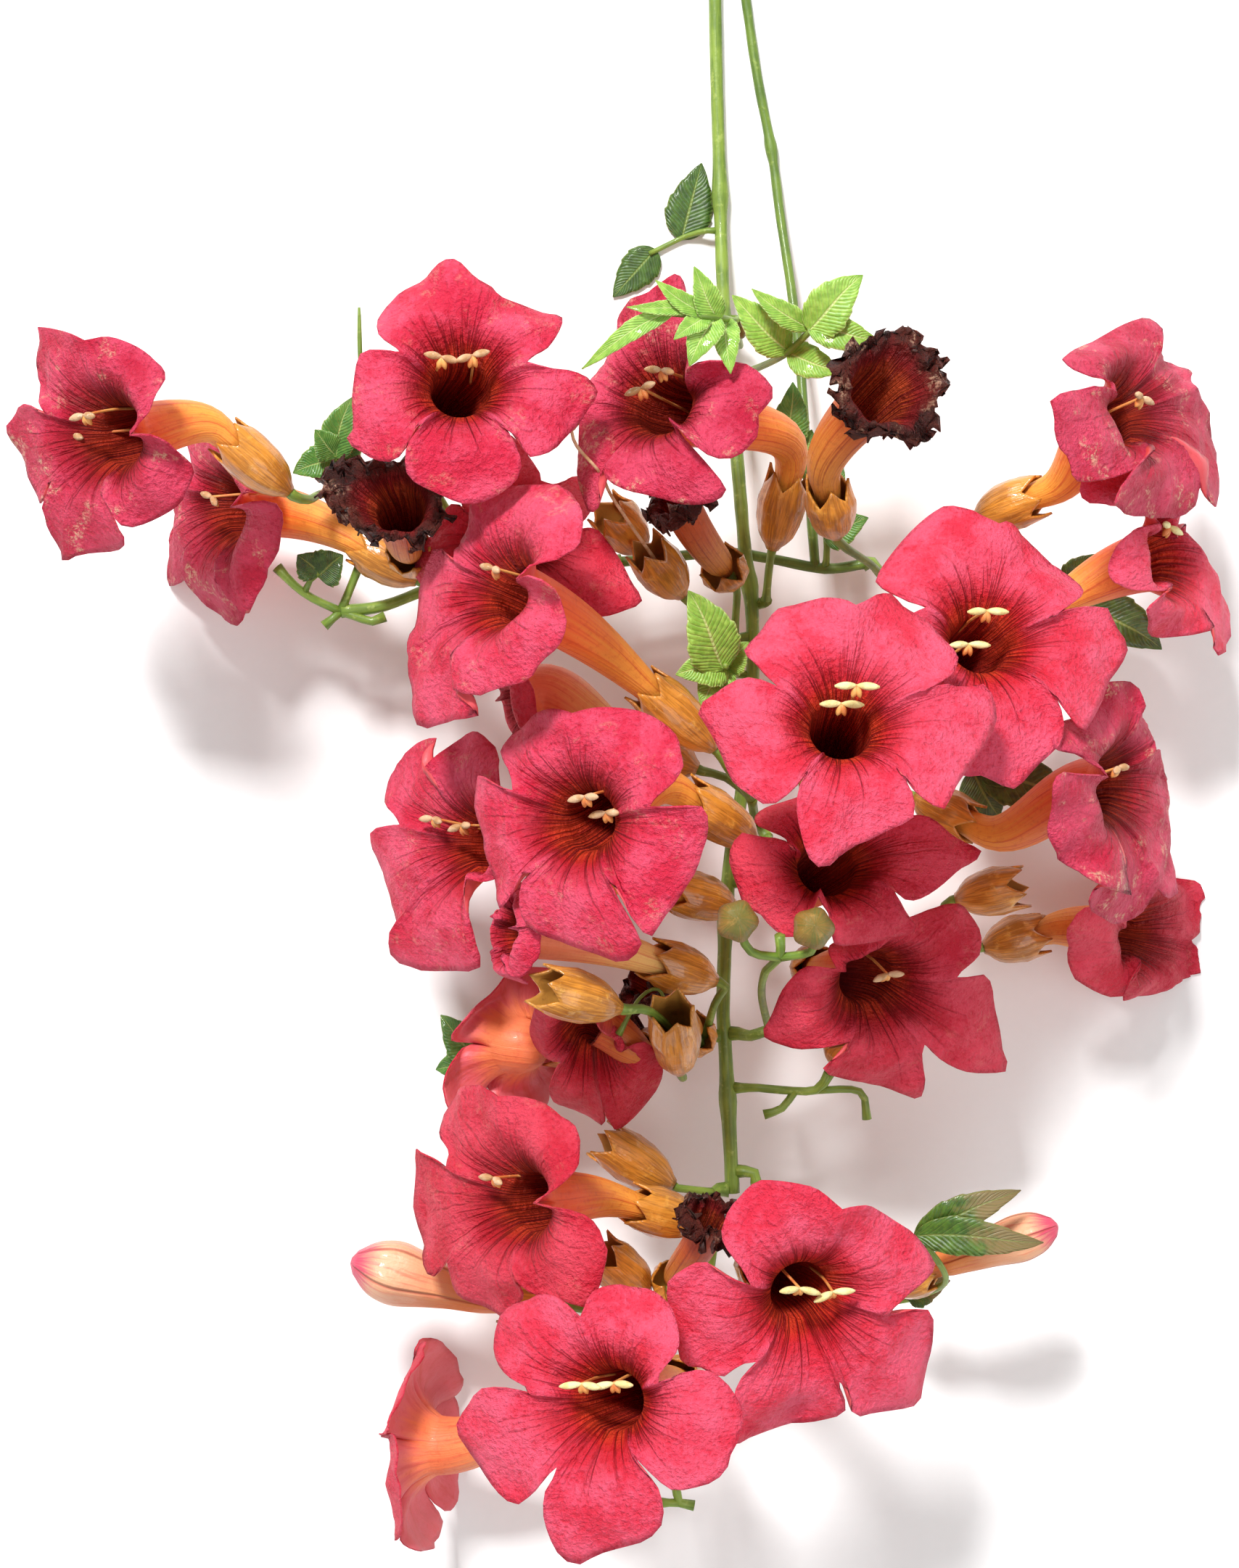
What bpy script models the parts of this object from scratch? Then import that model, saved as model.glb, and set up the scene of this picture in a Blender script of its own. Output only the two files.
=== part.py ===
# A cut spray of trumpet vine laid on its back: two stems, flower trusses, blooms, buds and leaves.
# Metres, +Z up. The photograph's right is +X, its top +Y, and its viewer looks down from +Z.
import math

import bmesh
import bpy
from mathutils import Vector

mm = 0.001

# The view that the photograph's pixels are read in: straight down, from this height over the floor.
viewHeight = 800 * mm
focalPixels = 4070
centreU = 854
centreV = 1081
# Moves the middle of the spray's box to the origin.
originX = 3.5 * mm
originY = 11.4 * mm

# Flower sizes.
petalThickness = 0.7 * mm
tubeStartRadius = 2.1 * mm
tubeNeckRadius = 3.7 * mm
tubeMiddleRadius = 6.2 * mm
throatRadius = 8.6 * mm
throatDepth = 9 * mm
mouthRadius = 11 * mm
lobesPerBloom = 5
lobeFan = 1.3

# Calyx sizes.
calyxTeeth = 5
calyxFloor = 4 * mm
calyxBaseRadius = 1.7 * mm
calyxWaistRadius = 4.3 * mm
calyxMouthRadius = 5.5 * mm
calyxWall = 0.8 * mm
toothDepth = 4 * mm

# Green parts.
stemRadius = 1.75 * mm
darkStemRadius = 1.3 * mm
branchRadius = 1.4 * mm
pedicelRadius = 1.0 * mm
filamentRadius = 0.5 * mm
antherRadius = 1.3 * mm
leafThickness = 0.7 * mm
leafStalkRadius = 0.8 * mm
roundBudRadius = 5.2 * mm
seatGap = 0.4 * mm


def place(u, v, z):
    reach = (viewHeight - z * mm) / focalPixels
    return Vector(((u - centreU) * reach - originX, (centreV - v) * reach - originY, z * mm))


def placeOnPlane(u, v, middle, facing, back):
    eye = Vector((-originX, -originY, viewHeight))
    ray = (place(u, v, 0) - eye).normalized()
    distance = ((middle - facing * back) - eye).dot(facing) / ray.dot(facing)
    return eye + ray * distance


def clearStart():
    for item in list(bpy.data.objects):
        bpy.data.objects.remove(item, do_unlink=True)
    collection = bpy.data.collections.new("trumpet_vine")
    bpy.context.scene.collection.children.link(collection)
    return collection


def makeMaterial(name, colour, roughness):
    material = bpy.data.materials.new(name)
    material.use_nodes = True
    shader = material.node_tree.nodes["Principled BSDF"]
    shader.inputs["Base Color"].default_value = (*colour, 1)
    shader.inputs["Roughness"].default_value = roughness
    shader.inputs["Metallic"].default_value = 0
    return material


def meshObject(name, vertices, faces, material):
    mesh = bpy.data.meshes.new(name)
    mesh.from_pydata([tuple(v) for v in vertices], [], faces)
    mesh.materials.append(material)
    item = bpy.data.objects.new(name, mesh)
    part.objects.link(item)
    return item


def evaluatedMesh(item):
    bpy.context.view_layer.update()
    graph = bpy.context.evaluated_depsgraph_get()
    return bpy.data.meshes.new_from_object(item.evaluated_get(graph), depsgraph=graph)


def replaceByMesh(item, name, material):
    mesh = evaluatedMesh(item)
    mesh.transform(item.matrix_world)
    bpy.data.objects.remove(item, do_unlink=True)
    work = bmesh.new()
    work.from_mesh(mesh)
    bmesh.ops.remove_doubles(work, verts=work.verts, dist=0.00001)
    bmesh.ops.triangulate(work, faces=work.faces)
    bmesh.ops.recalc_face_normals(work, faces=work.faces)
    work.to_mesh(mesh)
    work.free()
    mesh.materials.clear()
    mesh.materials.append(material)
    mesh.name = name
    solid = bpy.data.objects.new(name, mesh)
    part.objects.link(solid)
    return solid


def tube(name, points, radii, material, resolution=1):
    curve = bpy.data.curves.new(name, "CURVE")
    curve.dimensions = "3D"
    curve.bevel_depth = 1
    curve.bevel_resolution = resolution
    curve.use_fill_caps = True
    spline = curve.splines.new("POLY")
    spline.points.add(len(points) - 1)
    for i, (point, radius) in enumerate(zip(points, radii)):
        spline.points[i].co = (*point, 1)
        spline.points[i].radius = radius
    item = bpy.data.objects.new(name, curve)
    part.objects.link(item)
    return replaceByMesh(item, name, material)


def fuse(name, pieces, material):
    body = pieces[0]
    if len(pieces) > 1:
        others = bpy.data.collections.new(name + "_pieces")
        for piece in pieces[1:]:
            others.objects.link(piece)
        union = body.modifiers.new("union", "BOOLEAN")
        union.operation = "UNION"
        union.operand_type = "COLLECTION"
        union.collection = others
        union.solver = "MANIFOLD"
        mesh = evaluatedMesh(body)
        for piece in pieces[1:]:
            bpy.data.objects.remove(piece, do_unlink=True)
        bpy.data.collections.remove(others)
        body.modifiers.clear()
        body.data = mesh
    mesh = body.data
    mesh.materials.clear()
    mesh.materials.append(material)
    body.name = name
    mesh.name = name
    mesh.shade_smooth()
    mesh.set_sharp_from_angle(angle=math.radians(50))
    return body


def smooth(points, step):
    # Catmull-Rom through the route's own points.
    if len(points) < 3:
        return list(points)
    ends = [2 * points[0] - points[1]] + list(points) + [2 * points[-1] - points[-2]]
    route = []
    for i in range(1, len(ends) - 2):
        a, b, c, d = ends[i - 1 : i + 3]
        count = max(1, round((c - b).length / step))
        for k in range(count):
            t = k / count
            bend = (2 * a - 5 * b + 4 * c - d) * t + (3 * b - a - 3 * c + d) * t * t
            route.append(b + 0.5 * t * ((c - a) + bend))
    return route + [points[-1]]


def turnTo(direction):
    return Vector((0, 0, 1)).rotation_difference(direction).to_matrix()


def calyxFrame(seat, teeth):
    base = place(*seat)
    reach = place(*teeth) - base
    return base, reach.normalized(), reach.length


def calyx(name, seat, teeth, material):
    # A cup on five sides with a tooth on each, hollow down to its floor.
    base, axis, length = calyxFrame(seat, teeth)
    turn = turnTo(axis)
    vertices = []

    def ring(height, radius, sides, notch=0):
        first = len(vertices)
        for i in range(sides):
            angle = 2 * math.pi * i / sides
            out = Vector((radius * math.cos(angle), radius * math.sin(angle), 0))
            out.z = height - notch * (i % 2)
            vertices.append(base + turn @ out)
        return list(range(first, first + sides))

    foot = ring(0, calyxBaseRadius, calyxTeeth)
    waist = ring(calyxFloor, calyxWaistRadius, calyxTeeth)
    mouth = ring(length, calyxMouthRadius, 2 * calyxTeeth, toothDepth)
    floor = ring(calyxFloor + 0.2 * mm, calyxWaistRadius - calyxWall, calyxTeeth)
    faces = [tuple(reversed(foot)), tuple(floor)]
    for i in range(calyxTeeth):
        j = (i + 1) % calyxTeeth
        tooth, gap, nextTooth = mouth[2 * i], mouth[2 * i + 1], mouth[2 * j]
        faces.append((foot[i], foot[j], waist[j], waist[i]))
        faces.extend(((waist[i], gap, tooth), (waist[i], waist[j], gap), (waist[j], nextTooth, gap)))
        faces.extend(((floor[i], tooth, gap), (floor[i], gap, floor[j]), (floor[j], gap, nextTooth)))
    return replaceByMesh(meshObject(name, vertices, faces, material), name, material)


def bezier(a, b, c, t):
    return a * (1 - t) ** 2 + b * (2 * t * (1 - t)) + c * t * t


def hermite(a, b, along, arrive, t):
    return (
        a * (2 * t**3 - 3 * t**2 + 1)
        + along * (t**3 - 2 * t**2 + t)
        + b * (3 * t**2 - 2 * t**3)
        + arrive * (t**3 - t**2)
    )


def regularLimb(middle, facing, first, second, roll, length, back):
    # Five equal lobes, for a bloom that is seen from the side.
    tips = []
    notches = []
    for i in range(lobesPerBloom):
        angle = math.radians(roll - 72 * i)
        out = first * math.cos(angle) + second * math.sin(angle)
        tips.append(middle + out * length - facing * back)
        angle = math.radians(roll - 72 * i - 36)
        out = first * math.cos(angle) + second * math.sin(angle)
        notches.append(middle + out * length * 0.62)
    return tips, notches


def limbFrame(facing):
    first = (Vector((1, 0, 0)) - facing * facing.x).normalized()
    return first, facing.cross(first)


def bloomLimb(bloom, middle, facing):
    first, second = limbFrame(facing)
    back = bloom.get("back", 4) * mm
    if "limb" in bloom:
        tips = [placeOnPlane(u, v, middle, facing, back) for u, v in bloom["limb"][0::2]]
        notches = [placeOnPlane(u, v, middle, facing, 0) for u, v in bloom["limb"][1::2]]
        return tips, notches
    return regularLimb(
        middle, facing, first, second, bloom["roll"], bloom["reach"] * mm, back
    )


def lobeEdge(before, tip, after, turn):
    # From the notch before the lobe (-90 degrees) over its tip (0) to the notch after it (90). The
    # lobe fans out past its notches.
    angle = math.radians(turn)
    rise = math.cos(angle) ** 0.6 if abs(turn) < 90 else 0
    centre = (before + after) / 2
    side = (after - before) / 2 * math.sin(angle) * (1 + lobeFan * math.cos(angle))
    return centre + side + (tip - centre) * rise


edgeTurns = (-90, -46, 46)
shoulderReach = 1.12


def corolla(name, bloom, material):
    facing = Vector(bloom["facing"]).normalized()
    middle = place(*bloom["mouth"])
    base, axis, length = calyxFrame(bloom["seat"], bloom["teeth"])
    size = bloom.get("size", 1)
    first, second = limbFrame(facing)
    tips, notches = bloomLimb(bloom, middle, facing)

    angles = []
    for point in notches:
        angle = math.atan2((point - middle).dot(second), (point - middle).dot(first))
        while angles and angle > angles[-1] - 0.35:
            angle -= 2 * math.pi
        angles.append(angle)
    evenStart = sum(a + 2 * math.pi * i / lobesPerBloom for i, a in enumerate(angles)) / 5

    edge = []
    limbAngles = []
    evenAngles = []
    for i in range(lobesPerBloom):
        before = notches[i - 1]
        startAngle = angles[i - 1] + (2 * math.pi if i == 0 else 0)
        centre = (before + notches[i]) / 2
        stretched = centre + (tips[i] - centre) * shoulderReach
        for turn in edgeTurns:
            share = (math.sin(math.radians(turn)) + 1) / 2
            edge.append(lobeEdge(before, stretched, notches[i], turn))
            limbAngles.append(startAngle + (angles[i] - startAngle) * share)
            evenAngles.append(evenStart - 2 * math.pi * (i - 1 + share) / lobesPerBloom)

    start = base + axis * (length + 1.5 * mm)
    throat = middle - facing * throatDepth * size
    span = (throat - start).length
    stations = [
        (base + axis * (calyxFloor + 1.2 * mm), axis, tubeStartRadius, 0),
        (start, axis, tubeNeckRadius, 0),
    ]
    for t, radius in ((0.5, tubeMiddleRadius), (1, throatRadius)):
        centre = hermite(start, throat, axis * span, facing * span, t)
        ahead = hermite(start, throat, axis * span, facing * span, t - 0.02)
        stations.append((centre, (centre - ahead).normalized(), radius * size, t))

    around = len(edge)
    rings = []
    for centre, along, radius, blend in stations:
        turn = facing.rotation_difference(along).to_matrix()
        ring = []
        for k in range(around):
            angle = evenAngles[k] + (limbAngles[k] - evenAngles[k]) * blend
            out = turn @ (first * math.cos(angle) + second * math.sin(angle))
            ring.append(centre + out * radius)
        rings.append(ring)
    for t in (0.5, 1):
        ring = []
        for k in range(around):
            angle = limbAngles[k]
            out = first * math.cos(angle) + second * math.sin(angle)
            lip = middle + out * min(mouthRadius * size, (edge[k] - middle).length * 0.7)
            ring.append(bezier(rings[len(stations) - 1][k], lip, edge[k], t))
        rings.append(ring)

    vertices = [base + axis * (calyxFloor + 0.8 * mm)]
    for ring in rings:
        vertices.extend(ring)
    faces = []
    for k in range(around):
        faces.append((0, 1 + k, 1 + (k + 1) % around))
    for r in range(len(rings) - 1):
        low = 1 + r * around
        for k in range(around):
            j = (k + 1) % around
            faces.append((low + k, low + around + k, low + around + j, low + j))
    shell = meshObject(name, vertices, faces, material)
    solidify = shell.modifiers.new("wall", "SOLIDIFY")
    solidify.thickness = petalThickness
    solidify.offset = 0
    shell = replaceByMesh(shell, name, material)
    pieces = [shell]
    if "anther" in bloom:
        pieces.append(stamens(name + "_stamens", bloom, middle, facing, stations, material))
    return fuse(name, pieces, material)


def stamens(name, bloom, middle, facing, stations, material):
    # The filaments leave the tube's wall together and end in the anthers under the upper lobes.
    head = placeOnPlane(*bloom["anther"], middle, facing, -1 * mm)
    centre, along, radius, blend = stations[2]
    side = head - middle
    side -= along * side.dot(along)
    side = side.normalized()
    root = centre + side * (radius - 0.2 * mm)
    points = [root, head - facing * 0.5 * mm, head + facing * 2 * mm]
    radii = [filamentRadius, filamentRadius, antherRadius]
    return tube(name, points, radii, material, 0)


# Each open bloom: its mouth, the way it faces, its calyx from seat to teeth, and round its limb a
# tip and then a notch for the upper left, upper right, right, lower and left lobes.
blooms = {
    "a": {
        "mouth": (135, 600, 90), "facing": (-0.55, -0.1, 0.83),
        "seat": (398, 678, 66), "teeth": (309, 600, 72), "anther": (116, 572),
        "limb": [(48, 472), (115, 500), (214, 512), (180, 600), (240, 700), (140, 685),
                 (112, 778), (69, 664), (10, 645), (62, 570)],
    },
    "b": {
        "mouth": (290, 705, 33.2), "facing": (-0.8, -0.1, 0.6),
        "seat": (575, 800, 43), "teeth": (492, 748, 41), "anther": (292, 685),
        "limb": [(262, 592), (300, 650), (361, 645), (328, 690), (372, 770), (300, 780),
                 (318, 862), (262, 790), (214, 770), (252, 690)],
    },
    "c": {
        "mouth": (632, 515, 103), "facing": (0, 0.3, 0.95),
        "seat": (590, 640, 46), "teeth": (598, 600, 62), "anther": (625, 490),
        "limb": [(550, 378), (645, 436), (745, 385), (729, 502), (800, 600), (693, 588),
                 (640, 682), (585, 581), (480, 560), (555, 484)],
    },
    "d": {
        "mouth": (895, 540, 92), "facing": (-0.45, 0.3, 0.84),
        "seat": (1065, 755, 42), "teeth": (1088, 650, 52), "anther": (897, 525),
        "limb": [(850, 425), (890, 455), (945, 378), (975, 505), (1045, 590), (929, 585),
                 (950, 690), (855, 615), (788, 660), (801, 538)],
    },
    "g": {
        "mouth": (1580, 560, 78), "facing": (0.75, 0.25, 0.6),
        "seat": (1345, 715, 45), "teeth": (1437, 680, 52), "anther": (1574, 548),
        "limb": [(1535, 445), (1600, 490), (1645, 490), (1635, 560), (1695, 660), (1620, 640),
                 (1640, 712), (1560, 640), (1475, 600), (1525, 530)],
    },
    "h": {
        "mouth": (1600, 785, 60), "facing": (0.9, 0.2, 0.25),
        "seat": (1380, 880, 45), "teeth": (1460, 830, 50), "roll": 20, "reach": 23,
    },
    "i": {
        "mouth": (675, 805, 108), "facing": (-0.75, 0.3, 0.6),
        "seat": (983, 1031, 70), "teeth": (885, 942, 78), "anther": (680, 783),
        "limb": [(665, 675), (712, 735), (795, 700), (716, 789), (760, 890), (640, 895),
                 (590, 1000), (585, 890), (552, 830), (630, 755)],
    },
    "j": {
        "mouth": (700, 735, 74), "facing": (-0.2, 0.25, 0.94),
        "seat": (800, 790, 35), "teeth": (775, 775, 52), "anther": (690, 715),
        "limb": [(690, 600), (735, 670), (820, 675), (775, 745), (870, 835), (740, 800),
                 (690, 850), (650, 790), (606, 792), (645, 705)],
    },
    "k": {
        "mouth": (690, 975, 55), "facing": (-0.8, -0.3, 0.1),
        "seat": (960, 1060, 60), "teeth": (865, 1020, 60), "roll": 60, "reach": 17,
    },
    "l": {
        "mouth": (1165, 985, 125), "facing": (0.05, 0.4, 0.9),
        "seat": (1130, 1090, 62), "teeth": (1137, 1062, 79), "anther": (1181, 945),
        "limb": [(1060, 848), (1180, 893), (1272, 820), (1277, 951), (1365, 1040), (1241, 1063),
                 (1188, 1190), (1117, 1055), (975, 1020), (1092, 952)],
    },
    "m": {
        "mouth": (1365, 870, 96), "facing": (0.2, 0.35, 0.92),
        "seat": (1290, 960, 45), "teeth": (1300, 935, 61), "anther": (1360, 842),
        "limb": [(1240, 730), (1376, 780), (1465, 745), (1460, 849), (1552, 930), (1447, 951),
                 (1395, 1082), (1325, 950), (1240, 930), (1275, 840)],
    },
    "n": {
        "mouth": (640, 1165, 75), "facing": (-0.7, 0, 0.7),
        "seat": (1011, 1250, 45), "teeth": (920, 1225, 52), "anther": (610, 1128),
        "limb": [(535, 1040), (592, 1088), (665, 1010), (690, 1110), (718, 1165), (655, 1225),
                 (578, 1345), (557, 1250), (500, 1200), (552, 1140)],
    },
    "o": {
        "mouth": (785, 1130, 110), "facing": (-0.5, 0.05, 0.86),
        "seat": (1040, 1160, 60), "teeth": (942, 1095, 72), "anther": (806, 1098),
        "limb": [(700, 1000), (796, 1052), (890, 1005), (880, 1110), (945, 1215), (835, 1221),
                 (800, 1325), (728, 1205), (652, 1170), (708, 1090)],
    },
    "p": {
        "mouth": (688, 1284, 89), "facing": (-0.85, 0.1, 0.3),
        "seat": (985, 1352, 58), "teeth": (893, 1322, 66), "roll": 100, "reach": 12,
        "size": 0.75,
    },
    "q": {
        "mouth": (1150, 1180, 90), "facing": (0.15, 0.35, 0.92),
        "seat": (1080, 1260, 45), "teeth": (1090, 1240, 61), "anther": (1165, 1155),
        "limb": [(1060, 1112), (1150, 1125), (1215, 1105), (1225, 1150), (1345, 1185), (1231, 1225),
                 (1225, 1300), (1129, 1251), (1030, 1225), (1085, 1150)],
    },
    "r": {
        "mouth": (1215, 1365, 74), "facing": (0.35, -0.3, 0.88),
        "seat": (1110, 1330, 36), "teeth": (1132, 1336, 50), "anther": (1223, 1343),
        "limb": [(1200, 1283), (1245, 1305), (1330, 1262), (1305, 1349), (1388, 1450), (1274, 1442),
                 (1225, 1525), (1174, 1438), (1072, 1420), (1150, 1340)],
    },
    "s": {
        "mouth": (1560, 1085, 75), "facing": (0.85, 0, 0.55),
        "seat": (1262, 1100, 45), "teeth": (1345, 1140, 50), "anther": (1542, 1058),
        "limb": [(1520, 937), (1570, 1000), (1602, 985), (1592, 1050), (1632, 1130), (1590, 1140),
                 (1560, 1275), (1535, 1150), (1468, 1130), (1525, 1040)],
    },
    "t": {
        "mouth": (1590, 1290, 21.4), "facing": (0.95, -0.1, 0.2),
        "seat": (1357, 1306, 23), "teeth": (1440, 1284, 22), "roll": 75, "reach": 19,
        "back": 7,
    },
    "u": {
        "mouth": (650, 1430, 34), "facing": (-0.75, 0.1, -0.45),
        "seat": (845, 1448, 36), "teeth": (755, 1440, 34), "roll": 80, "reach": 18,
    },
    "v": {
        "mouth": (815, 1435, 72), "facing": (-0.1, -0.6, 0.75),
        "seat": (885, 1450, 40), "teeth": (880, 1452, 55), "size": 0.8,
        "limb": [(775, 1385), (812, 1402), (862, 1396), (862, 1438), (880, 1528), (822, 1505),
                 (785, 1545), (772, 1470), (730, 1440), (768, 1415)],
    },
    "w": {
        "mouth": (700, 1660, 84), "facing": (-0.7, 0.05, 0.7),
        "seat": (964, 1688, 48), "teeth": (866, 1660, 54), "anther": (680, 1624),
        "limb": [(612, 1508), (688, 1580), (775, 1540), (745, 1655), (815, 1775), (708, 1749),
                 (650, 1812), (623, 1722), (560, 1670), (614, 1609)],
    },
    "x": {
        "mouth": (829, 1935, 113), "facing": (-0.35, 0.1, 0.93),
        "seat": (950, 1900, 50), "teeth": (928, 1905, 67), "anther": (822, 1906),
        "limb": [(700, 1802), (802, 1869), (885, 1775), (908, 1906), (1008, 1975), (877, 2015),
                 (822, 2152), (766, 2023), (643, 2010), (726, 1921)],
    },
    "y": {
        "mouth": (1118, 1800, 100), "facing": (0.25, -0.25, 0.93),
        "seat": (1040, 1740, 40), "teeth": (1052, 1748, 57), "anther": (1125, 1778),
        "limb": [(1045, 1655), (1145, 1743), (1268, 1690), (1226, 1806), (1282, 1900), (1157, 1906),
                 (1080, 1992), (1043, 1879), (935, 1835), (1049, 1783)],
    },
    "z": {
        "mouth": (560, 1990, 27), "facing": (-0.9, 0, -0.25),
        "seat": (830, 1960, 42), "teeth": (740, 1968, 39), "roll": 90, "reach": 27,
    },
}

# Withered corollas that still hang on.
withered = {
    "e": {
        "mouth": (545, 690, 92), "facing": (-0.1, 0.35, 0.93),
        "seat": (572, 772, 54), "teeth": (562, 757, 68), "size": 0.7,
        "limb": [(478, 638), (520, 665), (592, 642), (572, 680), (612, 722), (575, 715),
                 (560, 755), (525, 710), (445, 665), (510, 675)],
    },
    "f": {
        "mouth": (1228, 530, 95), "facing": (0.35, 0.25, 0.9),
        "seat": (1153, 739, 58), "teeth": (1138, 665, 70), "size": 0.75,
        "limb": [(1185, 468), (1225, 490), (1290, 475), (1262, 530), (1290, 600), (1240, 570),
                 (1205, 605), (1200, 555), (1150, 530), (1190, 510)],
    },
    "cc": {
        "mouth": (985, 1672, 72), "facing": (0.3, 0.8, 0.5),
        "seat": (925, 1780, 42), "teeth": (935, 1760, 50), "roll": 90, "reach": 8,
        "size": 0.55,
    },
    "dd": {
        "mouth": (930, 680, 72), "facing": (-0.4, 0.7, 0.5),
        "seat": (1010, 800, 42), "teeth": (990, 775, 50), "roll": 90, "reach": 9,
        "size": 0.6,
    },
    "ee": {
        "mouth": (885, 1352, 50), "facing": (-0.6, 0.5, 0.5),
        "seat": (965, 1440, 37), "teeth": (950, 1420, 43), "roll": 60, "reach": 9,
        "size": 0.55,
    },
}

# Buds that are still closed: seat, teeth, then the tip; rest as for the tubes.
buds = {
    "left": {
        "seat": (770, 1800, 38), "teeth": (690, 1793, 38), "tip": (484, 1738, 40),
        "radii": (2.1, 3.8, 5.6, 8.6, 6.5, 1.5),
    },
    "right": {
        "seat": (1225, 1772, 38), "teeth": (1290, 1745, 42), "tip": (1458, 1690, 52),
        "radii": (2.1, 3.6, 4.6, 6.2, 5.0, 1.4),
    },
}

# The stems' own routes. The light one lies on the surface at its cut end and then rises under the
# blooms; the dark one ends in the cross branch.
lightStem = [
    (985, -45, 1.8), (988, 110, 1.8), (992, 240, 1.95), (994, 320, 3.6), (997, 405, 9), (1003, 490, 17),
    (1015, 620, 25), (1027, 760, 29), (1037, 850, 31), (1035, 1000, 32), (1020, 1110, 32),
    (1005, 1200, 32), (997, 1374, 32), (1000, 1450, 32), (1010, 1645, 32),
]
darkStem = [
    (1022, -45, 1.4), (1043, 100, 1.4), (1064, 210, 1.6), (1076, 300, 4), (1091, 400, 9),
    (1103, 500, 14), (1110, 600, 18), (1119, 720, 21), (1124, 782, 22),
]
crossBranch = [(853, 775, 25), (920, 768, 23), (1000, 762, 22), (1060, 770, 22), (1137, 784, 22), (1195, 777, 25)]

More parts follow.
